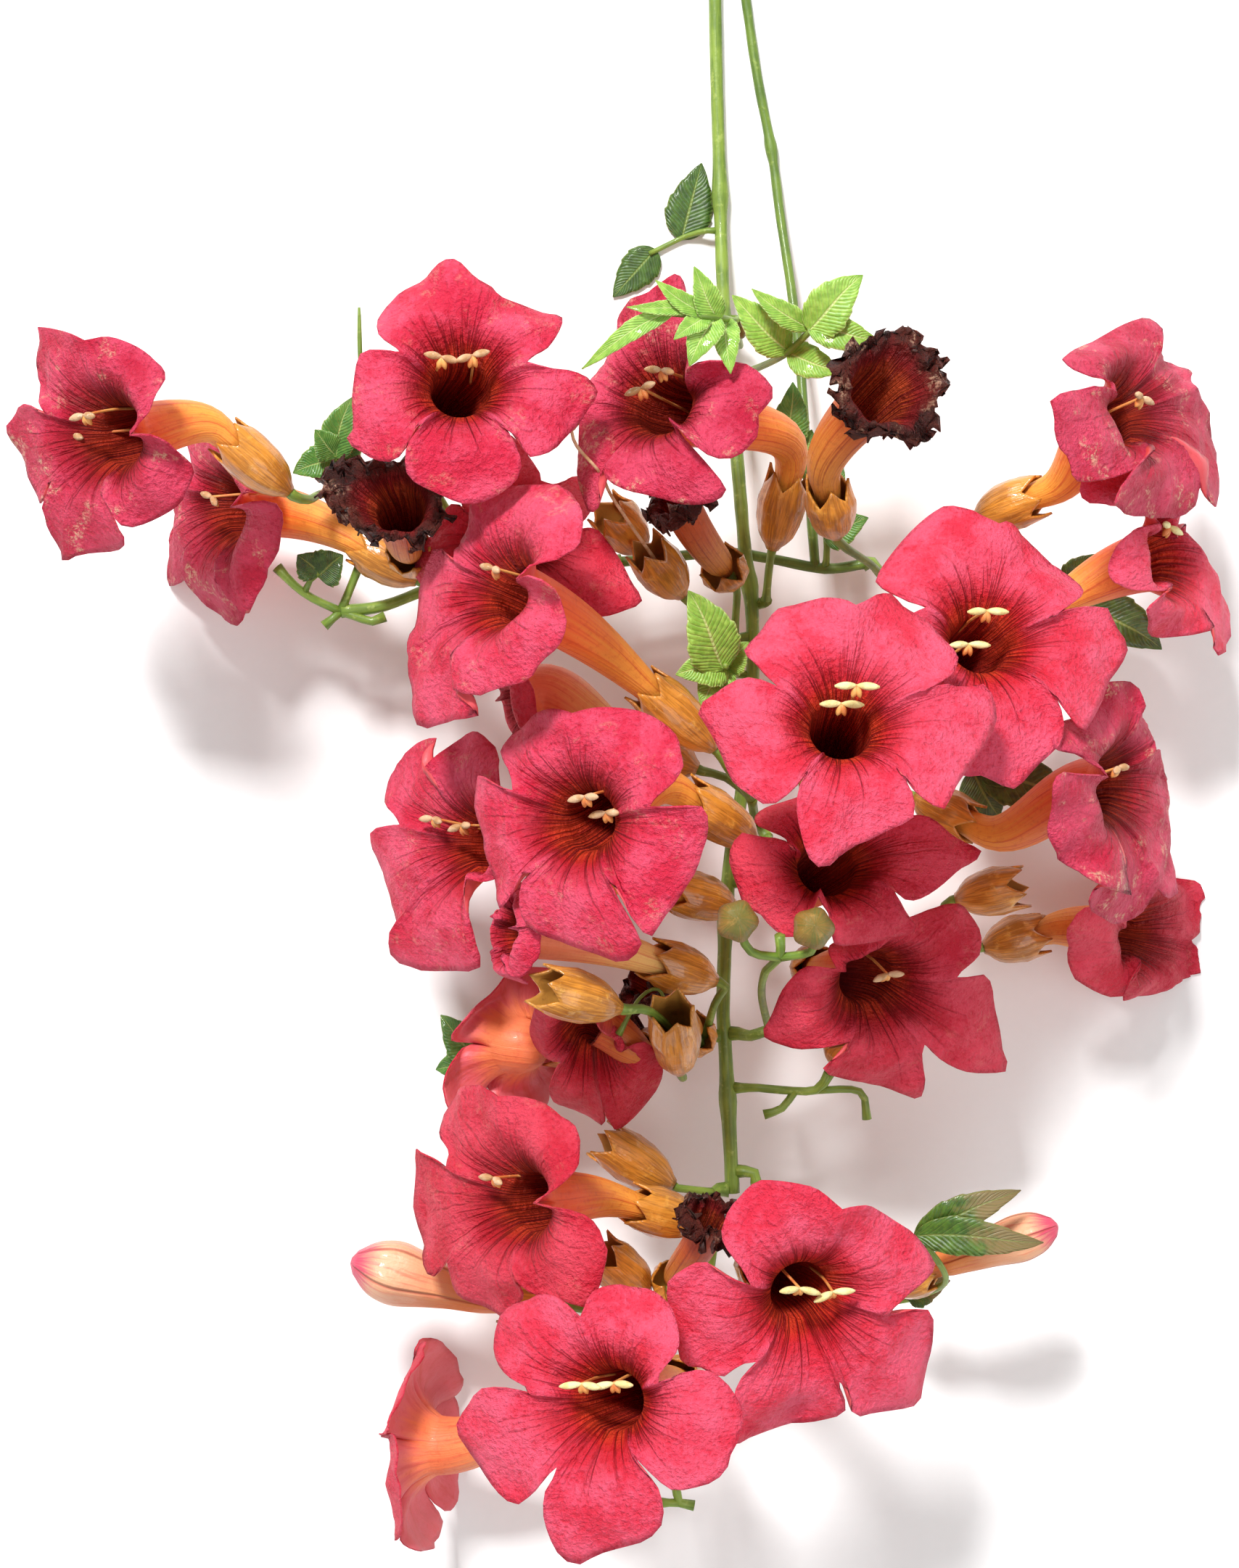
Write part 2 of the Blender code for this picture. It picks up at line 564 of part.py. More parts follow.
# Each truss: where it starts (beside a stem, or at a branch's end), its branches by name, and the
# calyces with the pedicel that carries each. A bloom's own calyx takes its seat from the bloom.
trusses = {
    "left": {
        "from": ("end", (920, 768, 23), (853, 775, 25)),
        "branches": [
            (1.4, [(800, 782, 27), (700, 792, 28), (610, 806, 31), (530, 835, 34), (470, 843, 36)]),
            (1.1, [(470, 843, 36), (431, 825, 37), (406, 807, 38), (382, 782, 38)]),
            (1.1, [(470, 843, 36), (499, 771, 38)]),
            (1.1, [(470, 843, 36), (513, 857, 36), (531, 850, 36)]),
            (1.1, [(470, 843, 36), (447, 863, 36)]),
        ],
        "calyces": [
            ("a", [(610, 806, 31), (540, 760, 28), (459, 685, 46), (425, 689, 60)]),
            ("b", [(610, 806, 31), (592, 806, 40)]),
            ("e", [(610, 806, 31), (585, 788, 48)]),
            ("c", [(700, 792, 28), (625, 715, 32), (592, 655, 40)]),
            ("j", [(800, 782, 27), (801, 791, 30)]),
        ],
    },
    "top": {
        "from": ("stem", 880, -1),
        "branches": [(1.2, [(1012, 878, 34), (985, 868, 40), (965, 845, 46)])],
        "calyces": [
            (((939, 820, 52), (888, 752, 62)), [(965, 845, 46)]),
            (((885, 757, 46), (833, 700, 56)), [(965, 845, 46), (925, 800, 42)]),
            ("dd", [(1012, 878, 34), (1016, 820, 37)]),
        ],
    },
    "upper": {
        "from": ("stem", 832, 1),
        "branches": [(1.2, [(1056, 828, 34)])],
        "calyces": [("d", [(1056, 828, 34), (1060, 785, 38)])],
    },
    "right": {
        "from": ("end", (1137, 784, 22), (1195, 777, 25)),
        "branches": [(1.4, [(1222, 800, 28), (1260, 822, 31), (1295, 835, 34)])],
        "calyces": [
            ("f", [(1222, 800, 28), (1200, 778, 42), (1168, 757, 54)]),
            ("g", [(1295, 835, 34), (1318, 780, 38), (1335, 735, 43)]),
            ("h", [(1295, 835, 34), (1340, 875, 40), (1362, 884, 44)]),
            ("m", [(1295, 835, 34), (1300, 910, 35), (1292, 958, 42)]),
        ],
    },
    "middle_left": {
        "from": ("stem", 1140, 1),
        "branches": [(1.2, [(1042, 1138, 36), (1058, 1155, 42)]), (1.2, [(1042, 1138, 36), (1036, 1100, 50)])],
        "calyces": [
            ("o", [(1058, 1155, 42), (1064, 1168, 52)]),
            ("i", [(1036, 1100, 50), (1008, 1067, 64)]),
            ("k", [(1036, 1100, 50), (1000, 1072, 57)]),
        ],
    },
    "middle_right": {
        "from": ("stem", 1215, 1),
        "branches": [(1.3, [(1042, 1214, 36), (1078, 1185, 42), (1110, 1135, 50)])],
        "calyces": [
            ("l", [(1110, 1135, 50), (1126, 1100, 57)]),
            ("q", [(1042, 1214, 36), (1064, 1245, 36), (1078, 1262, 39)]),
            ("n", [(1042, 1214, 36), (1046, 1245, 41), (1028, 1254, 44)]),
            ("s", [(1110, 1135, 50), (1180, 1104, 46), (1235, 1092, 44)]),
        ],
    },
    "low_left": {
        "from": ("stem", 1428, -1),
        "branches": [(1.3, [(972, 1430, 36), (930, 1452, 37), (890, 1462, 37)])],
        "calyces": [
            ("p", [(972, 1430, 36), (985, 1385, 50), (1000, 1360, 57)]),
            ("ee", [(972, 1430, 36)]),
            ("u", [(890, 1462, 37)]),
            ("v", [(890, 1462, 37)]),
            (((853, 1390, 87), (742, 1360, 98)), [(890, 1462, 37), (928, 1430, 60), (895, 1394, 82)]),
            (((937, 1476, 58), (925, 1388, 82)), [(930, 1452, 37), (942, 1486, 50)]),
        ],
    },
    "low_right": {
        "from": ("stem", 1425, 1),
        "branches": [
            (1.3, [(1035, 1428, 36), (1060, 1420, 38), (1120, 1402, 32), (1200, 1372, 24), (1290, 1330, 22)]),
            (1.0, [(1060, 1420, 38), (1050, 1372, 66), (1056, 1338, 86), (1075, 1320, 91), (1075, 1290, 95)]),
            (1.0, [(1075, 1320, 91), (1035, 1312, 96), (1016, 1275, 101)]),
            (1.0, [(1075, 1320, 91), (1118, 1312, 95), (1121, 1284, 101)]),
        ],
        "rounds": [(1016, 1270, 103), (1121, 1280, 103)],
        "calyces": [
            ("r", [(1120, 1402, 32), (1108, 1345, 33)]),
            ("t", [(1290, 1330, 22), (1335, 1312, 22)]),
            (((1319, 1240, 38), (1412, 1220, 42)), [(1290, 1330, 22), (1296, 1262, 34)]),
        ],
    },
    "end_left": {
        "from": ("stem", 1640, -1),
        "branches": [
            (1.4, [(985, 1644, 34), (984, 1700, 37), (975, 1770, 38), (965, 1840, 40), (955, 1885, 40)]),
            (1.2, [(955, 1885, 40), (910, 1945, 42), (870, 1962, 43)]),
            (1.1, [(910, 1945, 42), (925, 2010, 40), (937, 2072, 38), (957, 2076, 38)]),
            (1.1, [(937, 2072, 38), (909, 2072, 38)]),
            (1.1, [(975, 1770, 38), (905, 1812, 36), (840, 1812, 36)]),
        ],
        "calyces": [
            (((927, 1634, 40), (826, 1570, 41)), [(985, 1644, 34), (950, 1640, 38)]),
            ("w", [(984, 1700, 37), (978, 1696, 46)]),
            ("cc", [(975, 1770, 38), (940, 1788, 39)]),
            (((891, 1781, 44), (824, 1724, 54)), [(905, 1812, 36)]),
            ("x", [(955, 1885, 40), (952, 1900, 44)]),
            ("z", [(870, 1962, 43)]),
            ("left", [(840, 1812, 36), (790, 1803, 38)]),
        ],
    },
    "end_right": {
        "from": ("stem", 1615, 1),
        "branches": [
            (1.3, [(1040, 1618, 33), (1046, 1680, 32), (1050, 1745, 31), (1120, 1800, 30), (1180, 1795, 33)]),
        ],
        "calyces": [
            ("y", [(1050, 1745, 31), (1042, 1742, 34)]),
            ("right", [(1180, 1795, 33), (1208, 1780, 36)]),
        ],
    },
    "twig": {
        "from": ("stem", 1500, 1),
        "branches": [
            (1.1, [(1046, 1500, 34), (1078, 1503, 34), (1125, 1503, 34), (1143, 1480, 36)]),
            (1.0, [(1096, 1504, 34), (1078, 1528, 34), (1053, 1537, 34)]),
            (1.0, [(1125, 1503, 34), (1185, 1505, 33), (1195, 1543, 32)]),
        ],
        "calyces": [
            (((1152, 1470, 38), (1176, 1440, 40)), [(1143, 1480, 36)]),
        ],
    },
}

# Compound leaves: where the stalk starts, which way it leaves its carrier, its route, and the
# leaflets as base, tip and width in millimetres.
leaves = {
    "floor": {
        "from": ("stem", 318, -1),
        "stalks": [(0.7, [(945, 326, 0.9), (895, 350, 0.8)])],
        "leaflets": [((940, 328, 0.35), (968, 222, 0.35), 11), ((902, 346, 0.35), (843, 412, 0.35), 9)],
        "flat": True,
    },
    "top_left": {
        "from": ("stem", 440, 1),
        "stalks": [(0.9, [(1016, 440, 40), (1012, 438, 88), (975, 434, 104)])],
        "leaflets": [
            ((975, 434, 104), (904, 388, 110), 9), ((978, 434, 103), (956, 368, 113), 8),
            ((975, 434, 104), (862, 422, 107), 9), ((976, 434, 103), (800, 504, 104), 10),
            ((978, 435, 103), (932, 470, 112), 7), ((980, 435, 102), (950, 507, 108), 8),
            ((990, 436, 99), (1006, 512, 104), 9),
        ],
    },
    "top_right": {
        "from": ("stem", 512, 1),
        "stalks": [(0.9, [(1040, 509, 38), (1083, 488, 58), (1119, 454, 66)])],
        "leaflets": [
            ((1119, 454, 66), (1194, 380, 70), 13), ((1115, 458, 65), (1056, 402, 70), 11),
            ((1083, 486, 58), (1031, 398, 66), 9), ((1119, 455, 66), (1209, 466, 68), 10),
            ((1117, 457, 65), (1155, 517, 62), 9),
        ],
    },
    "left": {
        "from": ("near", (459, 685, 46), (458, 665, 50), 1.3),
        "stalks": [(0.8, [(458, 665, 50), (463, 626, 60)])],
        "leaflets": [
            ((463, 628, 60), (485, 545, 64), 8), ((463, 626, 60), (431, 592, 64), 7),
            ((463, 630, 58), (402, 655, 60), 8), ((464, 632, 57), (505, 600, 60), 7),
        ],
    },
    "junction": {
        "from": ("near", (420, 816, 37.5), (428, 800, 40), 1.1),
        "stalks": [(0.7, [(428, 800, 40), (440, 790, 41)])],
        "leaflets": [((438, 790, 41), (409, 762, 42), 8), ((440, 791, 41), (476, 765, 42), 9)],
    },
    "behind": {
        "from": ("near", (1137, 784, 22), (1140, 755, 26), 1.4),
        "stalks": [(0.8, [(1140, 755, 26), (1130, 690, 32), (1085, 625, 38)])],
        "leaflets": [
            ((1085, 625, 38), (1090, 524, 42), 9), ((1100, 648, 37), (1120, 590, 40), 8),
            ((1130, 690, 32), (1165, 636, 36), 8), ((1138, 740, 28), (1200, 715, 32), 8),
        ],
    },
    "centre": {
        "from": ("stem", 930, -1),
        "stalks": [(0.8, [(1008, 928, 45), (1000, 918, 66)])],
        "leaflets": [
            ((1000, 918, 64), (945, 815, 72), 12), ((1000, 919, 62), (930, 930, 68), 9),
            ((1000, 920, 60), (962, 975, 64), 9), ((1001, 918, 60), (1035, 885, 64), 7),
        ],
    },
    "right": {
        "from": ("near", (1180, 1104, 46), (1186, 1085, 50), 1.0),
        "stalks": [(0.8, [(1186, 1085, 50), (1230, 1060, 46), (1330, 1060, 34), (1350, 1066, 32)])],
        "leaflets": [
            ((1345, 1064, 32), (1440, 1035, 34), 11), ((1350, 1067, 32), (1490, 1090, 34), 13),
            ((1340, 1064, 32), (1380, 1130, 30), 11),
        ],
    },
    "far_right": {
        "from": ("near", (1318, 780, 38), (1338, 790, 34), 1.0),
        "stalks": [(0.8, [(1338, 790, 34), (1440, 800, 22), (1500, 830, 20)])],
        "leaflets": [((1500, 830, 20), (1602, 900, 22), 12), ((1470, 812, 21), (1516, 762, 24), 8)],
    },
    "lower": {
        "from": ("near", (866, 1452, 36), (850, 1475, 30), 1.0),
        "stalks": [(0.8, [(850, 1475, 30), (760, 1480, 18), (660, 1460, 14)])],
        "leaflets": [((665, 1461, 14), (603, 1400, 14), 9), ((670, 1462, 14), (598, 1478, 12), 9)],
    },
    "bud": {
        "from": ("near", (1120, 1800, 30), (1140, 1822, 27), 1.3),
        "stalks": [(0.8, [(1140, 1822, 27), (1210, 1800, 25), (1262, 1790, 26)])],
        "leaflets": [((1262, 1790, 26), (1312, 1745, 30), 8), ((1255, 1790, 26), (1315, 1792, 26), 8)],
    },
}

leafStations = (0.24, 0.52, 0.78)
leafWidths = (0.85, 1.0, 0.55)
leafFold = 0.22
leafArch = 0.07


def routePoint(route, v):
    for (u0, v0, z0), (u1, v1, z1) in zip(route, route[1:]):
        if v0 <= v <= v1:
            t = (v - v0) / (v1 - v0)
            return place(u0 + (u1 - u0) * t, v, z0 + (z1 - z0) * t)


def startOf(rule):
    # A piece starts a touch clear of what carries it, with its flat end towards it.
    if rule[0] == "stem":
        side = Vector((rule[2], 0, 0))
        first = routePoint(lightStem, rule[1]) + side * (stemRadius + seatGap)
        return [first, first + side * 2 * mm]
    along = (place(*rule[2]) - place(*rule[1])).normalized()
    if rule[0] == "end":
        first = place(*rule[2]) + along * seatGap
        return [first, first + along * 1.5 * mm]
    return [place(*rule[1]) + along * (rule[3] * mm + seatGap + 0.1 * mm)]


def branchTube(name, points, radius, material, resolution=0):
    return tube(name, points, [radius] * len(points), material, resolution)


def budBody(name, bud, material):
    base, axis, length = calyxFrame(bud["seat"], bud["teeth"])
    neck = base + axis * (length + 1.5 * mm)
    tip = place(*bud["tip"])
    points = [base + axis * (calyxFloor + 0.8 * mm), neck]
    for share in (0.35, 0.7, 0.88, 1):
        points.append(neck + (tip - neck) * share)
    return tube(name, points, [r * mm for r in bud["radii"]], material, 1)


def leaflet(name, base, tip, width, flat, material):
    along = tip - base
    base = base - along.normalized() * leafStalkRadius
    along = tip - base
    up = Vector((0, 0, 1))
    side = along.cross(up).normalized()
    normal = side.cross(along).normalized()
    vertices = [base]
    for share, wide in zip(leafStations, leafWidths):
        arch = 0 if flat else leafArch * along.length * math.sin(math.pi * share)
        middle = base + along * share + normal * arch
        lift = normal * (0 if flat else leafFold * width * 0.5 * wide)
        out = side * width * 0.5 * wide
        vertices.extend((middle - out + lift, middle, middle + out + lift))
    vertices.append(tip)
    last = len(vertices) - 1
    faces = [(0, 1, 2), (0, 2, 3)]
    for i in range(len(leafStations) - 1):
        a = 1 + 3 * i
        faces.extend(((a, a + 3, a + 4, a + 1), (a + 1, a + 4, a + 5, a + 2)))
    faces.extend(((last - 3, last, last - 2), (last - 2, last, last - 1)))
    blade = meshObject(name, vertices, faces, material)
    solidify = blade.modifiers.new("blade", "SOLIDIFY")
    solidify.thickness = leafThickness
    solidify.offset = 0
    return replaceByMesh(blade, name, material)


def buildTruss(name, truss, material):
    pieces = []
    start = startOf(truss["from"])
    for i, (radius, route) in enumerate(truss["branches"]):
        points = [place(*p) for p in route]
        if i == 0:
            points = start + points
        pieces.append(branchTube(f"{name}_branch{i}", points, radius * mm, material))
    for i, (owner, route) in enumerate(truss["calyces"]):
        if isinstance(owner, str):
            plant = {**blooms, **withered, **buds}[owner]
            owner = (plant["seat"], plant["teeth"])
        base, axis, length = calyxFrame(*owner)
        points = [place(*p) for p in route] + [base + axis * calyxFloor * 0.6]
        pieces.append(branchTube(f"{name}_pedicel{i}", points, pedicelRadius, material))
        pieces.append(calyx(f"{name}_calyx{i}", *owner, material))
    for i, spot in enumerate(truss.get("rounds", [])):
        bpy.ops.mesh.primitive_uv_sphere_add(
            segments=10, ring_count=6, radius=roundBudRadius, location=place(*spot)
        )
        ball = bpy.context.object
        for collection in list(ball.users_collection):
            collection.objects.unlink(ball)
        part.objects.link(ball)
        pieces.append(replaceByMesh(ball, f"{name}_bud{i}", material))
    return fuse(name, pieces, material)


def buildLeaf(name, leaf, material):
    pieces = []
    start = startOf(leaf["from"])
    for i, (radius, route) in enumerate(leaf["stalks"]):
        points = (start if i == 0 else []) + [place(*p) for p in route]
        pieces.append(branchTube(f"{name}_stalk{i}", points, radius * mm, material))
    for i, (base, tip, width) in enumerate(leaf["leaflets"]):
        blade = leaflet(
            f"{name}_blade{i}", place(*base), place(*tip), width * mm, "flat" in leaf, material
        )
        pieces.append(blade)
    return fuse(name, pieces, material)


part = clearStart()
petalRed = makeMaterial("petal_red", (0.62, 0.03, 0.10), 0.45)
petalDark = makeMaterial("petal_withered", (0.16, 0.02, 0.04), 0.7)
budPink = makeMaterial("bud_pink", (0.75, 0.25, 0.22), 0.45)
green = makeMaterial("stem_green", (0.20, 0.33, 0.07), 0.5)
calyxOrange = makeMaterial("calyx_orange", (0.55, 0.26, 0.03), 0.4)
leafGreen = makeMaterial("leaf_green", (0.08, 0.25, 0.03), 0.5)

for letter, bloom in blooms.items():
    corolla("bloom_" + letter, bloom, petalRed)
for letter, bloom in withered.items():
    corolla("withered_" + letter, bloom, petalDark)
for side, bud in buds.items():
    budBody("bud_" + side, bud, budPink)
for place_name, truss in trusses.items():
    buildTruss("truss_" + place_name, truss, calyxOrange)
for place_name, leaf in leaves.items():
    buildLeaf("leaf_" + place_name, leaf, leafGreen)
light = smooth([place(*p) for p in lightStem], 12 * mm)
tube("stem_light", light, [stemRadius] * len(light), green, 2)
dark = smooth([place(*p) for p in darkStem], 14 * mm)
cross = smooth([place(*p) for p in crossBranch], 14 * mm)
darkParts = [branchTube("stem_dark", dark, darkStemRadius, green, 1),
             branchTube("cross", cross, branchRadius, green, 1)]
fuse("stem_dark", darkParts, green)
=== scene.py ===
import math

import bpy
import mathutils
import numpy as np
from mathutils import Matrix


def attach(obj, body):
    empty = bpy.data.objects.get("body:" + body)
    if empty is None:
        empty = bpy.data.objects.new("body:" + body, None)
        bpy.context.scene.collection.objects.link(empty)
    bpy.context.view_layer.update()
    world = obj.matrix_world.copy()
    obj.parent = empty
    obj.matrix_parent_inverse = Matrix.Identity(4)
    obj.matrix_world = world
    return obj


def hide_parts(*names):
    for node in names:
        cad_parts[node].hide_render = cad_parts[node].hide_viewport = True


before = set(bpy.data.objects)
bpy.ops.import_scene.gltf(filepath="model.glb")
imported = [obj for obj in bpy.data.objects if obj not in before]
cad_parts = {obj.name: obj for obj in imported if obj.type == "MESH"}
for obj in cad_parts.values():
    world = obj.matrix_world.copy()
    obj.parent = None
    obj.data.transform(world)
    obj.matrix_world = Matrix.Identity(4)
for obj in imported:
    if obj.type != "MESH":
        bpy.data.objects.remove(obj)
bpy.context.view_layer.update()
mm = 0.001

# The view that pixels are read in: straight down, with the spray's middle moved to the origin.
camera = {"height": 0.8, "focal": 4070, "u": 854, "v": 1081, "x": 0.0035, "y": 0.0114, "rows": 2162}


def setCamera():
    data = bpy.data.cameras.new("camera")
    data.sensor_fit = "VERTICAL"
    data.sensor_height = 36
    data.lens = camera["focal"] / camera["rows"] * 36
    item = bpy.data.objects.new("camera", data)
    item.location = (-camera["x"], -camera["y"], camera["height"])
    bpy.context.scene.collection.objects.link(item)
    bpy.context.scene.camera = item


def unit(vector):
    vector = np.asarray(vector, float)
    return vector / np.linalg.norm(vector)


def place(u, v, z):
    # A pixel and a height in millimetres, carried along the pixel's ray to that height.
    reach = (camera["height"] - z * mm) / camera["focal"]
    across, up = (u - camera["u"]) * reach, (camera["v"] - v) * reach
    return np.array((across - camera["x"], up - camera["y"], z * mm))


def placeOnPlane(u, v, middle, facing, back):
    # Where each pixel's ray meets the plane through the middle, moved back along its facing.
    eye = np.array((-camera["x"], -camera["y"], camera["height"]))
    reach = 1 / camera["focal"]
    across, up = (np.asarray(u) - camera["u"]) * reach, (camera["v"] - np.asarray(v)) * reach
    ray = np.stack((across, up, -np.ones_like(across)), -1)
    distance = ((middle - eye) @ facing - back) / (ray @ facing)
    return eye + ray * distance[..., None]


def rotation(start, end):
    # The matrix that turns one direction to the other the short way: I + K + K K / (1 + cosine).
    cross = np.cross(start, end)
    cosine = float(np.dot(start, end))
    if cosine < -0.9999:
        return np.diag((1.0, -1.0, -1.0))
    skew = np.array(((0, -cross[2], cross[1]), (cross[2], 0, -cross[0]), (-cross[1], cross[0], 0)))
    return np.eye(3) + skew + skew @ skew / (1 + cosine)


def ripple(points, wavelength, seed, waves=9):
    # Smooth noise from -1 to 1: the mean of sine waves in seeded directions, all near one wavelength.
    draw = np.random.default_rng(seed)
    directions = draw.normal(size=(waves, 3))
    directions /= np.linalg.norm(directions, axis=1)[:, None]
    counts = 2 * math.pi / wavelength * draw.uniform(0.7, 1.4, waves)
    phases = draw.uniform(0, 2 * math.pi, waves)
    total = np.sin((points @ directions.T) * counts + phases).sum(-1)
    return total / math.sqrt(waves)


def smoothPath(points, step):
    # Catmull-Rom through the points: b + t/2 ((c - a) + t (2a - 5b + 4c - d) + t t (3b - a - 3c + d)).
    points = np.asarray(points, float)
    if len(points) < 3:
        count = max(2, round(np.linalg.norm(points[1] - points[0]) / step) + 1)
        share = np.linspace(0, 1, count)[:, None]
        return points[0] + (points[1] - points[0]) * share
    ends = np.vstack((2 * points[0] - points[1], points, 2 * points[-1] - points[-2]))
    route = []
    for a, b, c, d in zip(ends, ends[1:], ends[2:], ends[3:]):
        count = max(1, round(np.linalg.norm(c - b) / step))
        t = np.arange(count)[:, None] / count
        bend = (2 * a - 5 * b + 4 * c - d) * t + (3 * b - a - 3 * c + d) * t * t
        route.append(b + 0.5 * t * ((c - a) + bend))
    return np.vstack(route + [points[-1:]])


def tubeGrid(path, radii, sides, ridge=0, turns=5):
    # A circle carried along the path without twist, its radius times 1 + ridge cos(turns angle).
    path = np.asarray(path, float)
    along = np.gradient(path, axis=0)
    along /= np.linalg.norm(along, axis=1)[:, None]
    side = np.cross(along[0], (0.31, 0.52, 0.79))
    frames = []
    for direction in along:
        side = unit(side - direction * (side @ direction))
        frames.append((side, np.cross(direction, side)))
    frames = np.array(frames)
    angle = 2 * math.pi * np.arange(sides) / sides
    swell = 1 + ridge * np.cos(turns * angle)
    out = np.cos(angle)[:, None] * frames[:, None, 0] + np.sin(angle)[:, None] * frames[:, None, 1]
    return path[:, None] + out * (np.asarray(radii, float)[:, None] * swell)[..., None]


class Shape:
    # Gathers grids of points into one mesh, with a UV map and a material slot for each grid.
    def __init__(self):
        self.points = []
        self.faces = []
        self.uvs = []
        self.slots = []
        self.count = 0

    def add(self, grid, u, v, slot=0, around=True, startCap=False, endCap=False):
        # Rows run along v. Where the grid goes around, u has one value more than the grid has columns.
        rows, columns = grid.shape[:2]
        ids = np.arange(rows * columns).reshape(rows, columns) + self.count
        rings = ids
        after = np.roll(ids, -1, 1) if around else ids[:, 1:]
        ids = ids if around else ids[:, :-1]
        quads = np.stack((ids[:-1], after[:-1], after[1:], ids[1:]), -1).reshape(-1, 4)
        u = np.asarray(u, float)
        v = np.asarray(v, float)
        low, high = np.meshgrid(u[:-1], v[:-1]), np.meshgrid(u[1:], v[1:])
        corners = ((low[0], low[1]), (high[0], low[1]), (high[0], high[1]), (low[0], high[1]))
        uv = np.stack([np.stack(corner, -1) for corner in corners], 2).reshape(-1, 2)
        self.points.append(grid.reshape(-1, 3))
        self.faces.extend(quads.tolist())
        self.uvs.append(uv)
        self.slots.append(np.full(len(quads), slot))
        self.count += rows * columns
        for wanted, row, value, turned in ((startCap, 0, v[0], True), (endCap, rows - 1, v[-1], False)):
            if wanted:
                self.cap(grid[row], rings[row], u, value, slot, turned)
        return self

    def cap(self, ring, ids, u, value, slot, turned):
        middle = self.count
        self.points.append(ring.mean(0)[None])
        self.count += 1
        after = np.roll(ids, -1)
        centre = np.full(len(ids), middle)
        fan = np.stack((centre, after, ids) if turned else (centre, ids, after), -1)
        self.faces.extend(fan.tolist())
        around = u[: len(ids)]
        uv = np.stack([np.stack((around, np.full(len(ids), value)), -1)] * 3, 1)
        self.uvs.append(uv.reshape(-1, 2))
        self.slots.append(np.full(len(ids), slot))

    def build(self, name, materials, slot, *nodes):
        mesh = bpy.data.meshes.new(name)
        mesh.from_pydata(np.vstack(self.points).tolist(), [], self.faces)
        layer = mesh.uv_layers.new(name="surface")
        layer.data.foreach_set("uv", np.vstack(self.uvs).astype(np.float32).ravel())
        mesh.polygons.foreach_set("material_index", np.concatenate(self.slots).astype(np.int32))
        for material in materials:
            mesh.materials.append(material)
        mesh.shade_smooth()
        item = bpy.data.objects.new(name, mesh)
        bpy.context.scene.collection.objects.link(item)
        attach(item, "root")
        if nodes:
            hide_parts(*nodes)
        return item


def thicken(item, thickness, offset=0, inner=0):
    wall = item.modifiers.new("wall", "SOLIDIFY")
    wall.thickness = thickness
    wall.offset = offset
    wall.material_offset = inner
    wall.use_even_offset = False


class Value:
    # A socket that can be written in a formula.
    def __init__(self, graph, socket):
        self.graph = graph
        self.socket = socket

    def __add__(self, other):
        return self.graph.math("ADD", self, other)

    def __sub__(self, other):
        return self.graph.math("SUBTRACT", self, other)

    def __mul__(self, other):
        return self.graph.math("MULTIPLY", self, other)

    def __rsub__(self, other):
        return self.graph.math("SUBTRACT", other, self)


class Graph:
    def __init__(self, name, roughness, coat=0, subsurface=0):
        self.material = bpy.data.materials.new(name)
        self.material.use_nodes = True
        self.tree = self.material.node_tree
        self.shader = self.tree.nodes["Principled BSDF"]
        self.shader.inputs["Roughness"].default_value = roughness
        self.shader.inputs["Coat Weight"].default_value = coat
        self.shader.inputs["Subsurface Weight"].default_value = subsurface
        self.shader.inputs["Subsurface Scale"].default_value = 2 * mm

    def node(self, kind, settings, values, output=0):
        made = self.tree.nodes.new(kind)
        for name, value in settings.items():
            setattr(made, name, value)
        for name, value in values.items():
            self.fill(made.inputs[name], value)
        return Value(self, made.outputs[output])

    def fill(self, socket, value):
        if isinstance(value, Value):
            self.tree.links.new(value.socket, socket)
        elif isinstance(value, tuple) and len(value) == 3 and len(socket.default_value) == 4:
            socket.default_value = (*value, 1)
        else:
            socket.default_value = value

    def math(self, operation, first, second=0.0):
        return self.node("ShaderNodeMath", {"operation": operation}, {0: first, 1: second})

    def step(self, value, low, high):
        # A soft step from 0 at low to 1 at high.
        settings = {"interpolation_type": "SMOOTHSTEP"}
        return self.node("ShaderNodeMapRange", settings, {"Value": value, "From Min": low, "From Max": high})

    def mix(self, factor, first, second):
        return self.node("ShaderNodeMix", {"data_type": "RGBA"}, {0: factor, 6: first, 7: second}, 2)

    def uv(self):
        where = self.node("ShaderNodeUVMap", {"uv_map": "surface"}, {})
        return [self.node("ShaderNodeSeparateXYZ", {}, {0: where}, axis) for axis in (0, 1)]

    def position(self):
        return self.node("ShaderNodeTexCoord", {}, {}, 3)

    def noise(self, vector, scale, detail=2.0, rough=0.5):
        values = {"Vector": vector, "Scale": scale, "Detail": detail, "Roughness": rough}
        return self.node("ShaderNodeTexNoise", {}, values)

    def streaks(self, u, v, counts, offset=0, detail=1, rough=0.4):
        # Noise drawn out along the piece, with its counts across and along it.
        vector = self.node("ShaderNodeCombineXYZ", {}, {0: u * counts[0], 1: v * counts[1], 2: offset})
        return self.noise(vector, 1, detail, rough)

    def ridges(self, field, sharpness):
        # Thin lines where the noise crosses its middle.
        return self.math("MAXIMUM", 1 - self.math("ABSOLUTE", (field - 0.5) * sharpness), 0)

    def colour(self, value):
        self.fill(self.shader.inputs["Base Color"], value)

    def bump(self, height, strength, distance):
        values = {"Height": height, "Strength": strength, "Distance": distance}
        normal = self.node("ShaderNodeBump", {}, values)
        self.fill(self.shader.inputs["Normal"], normal)


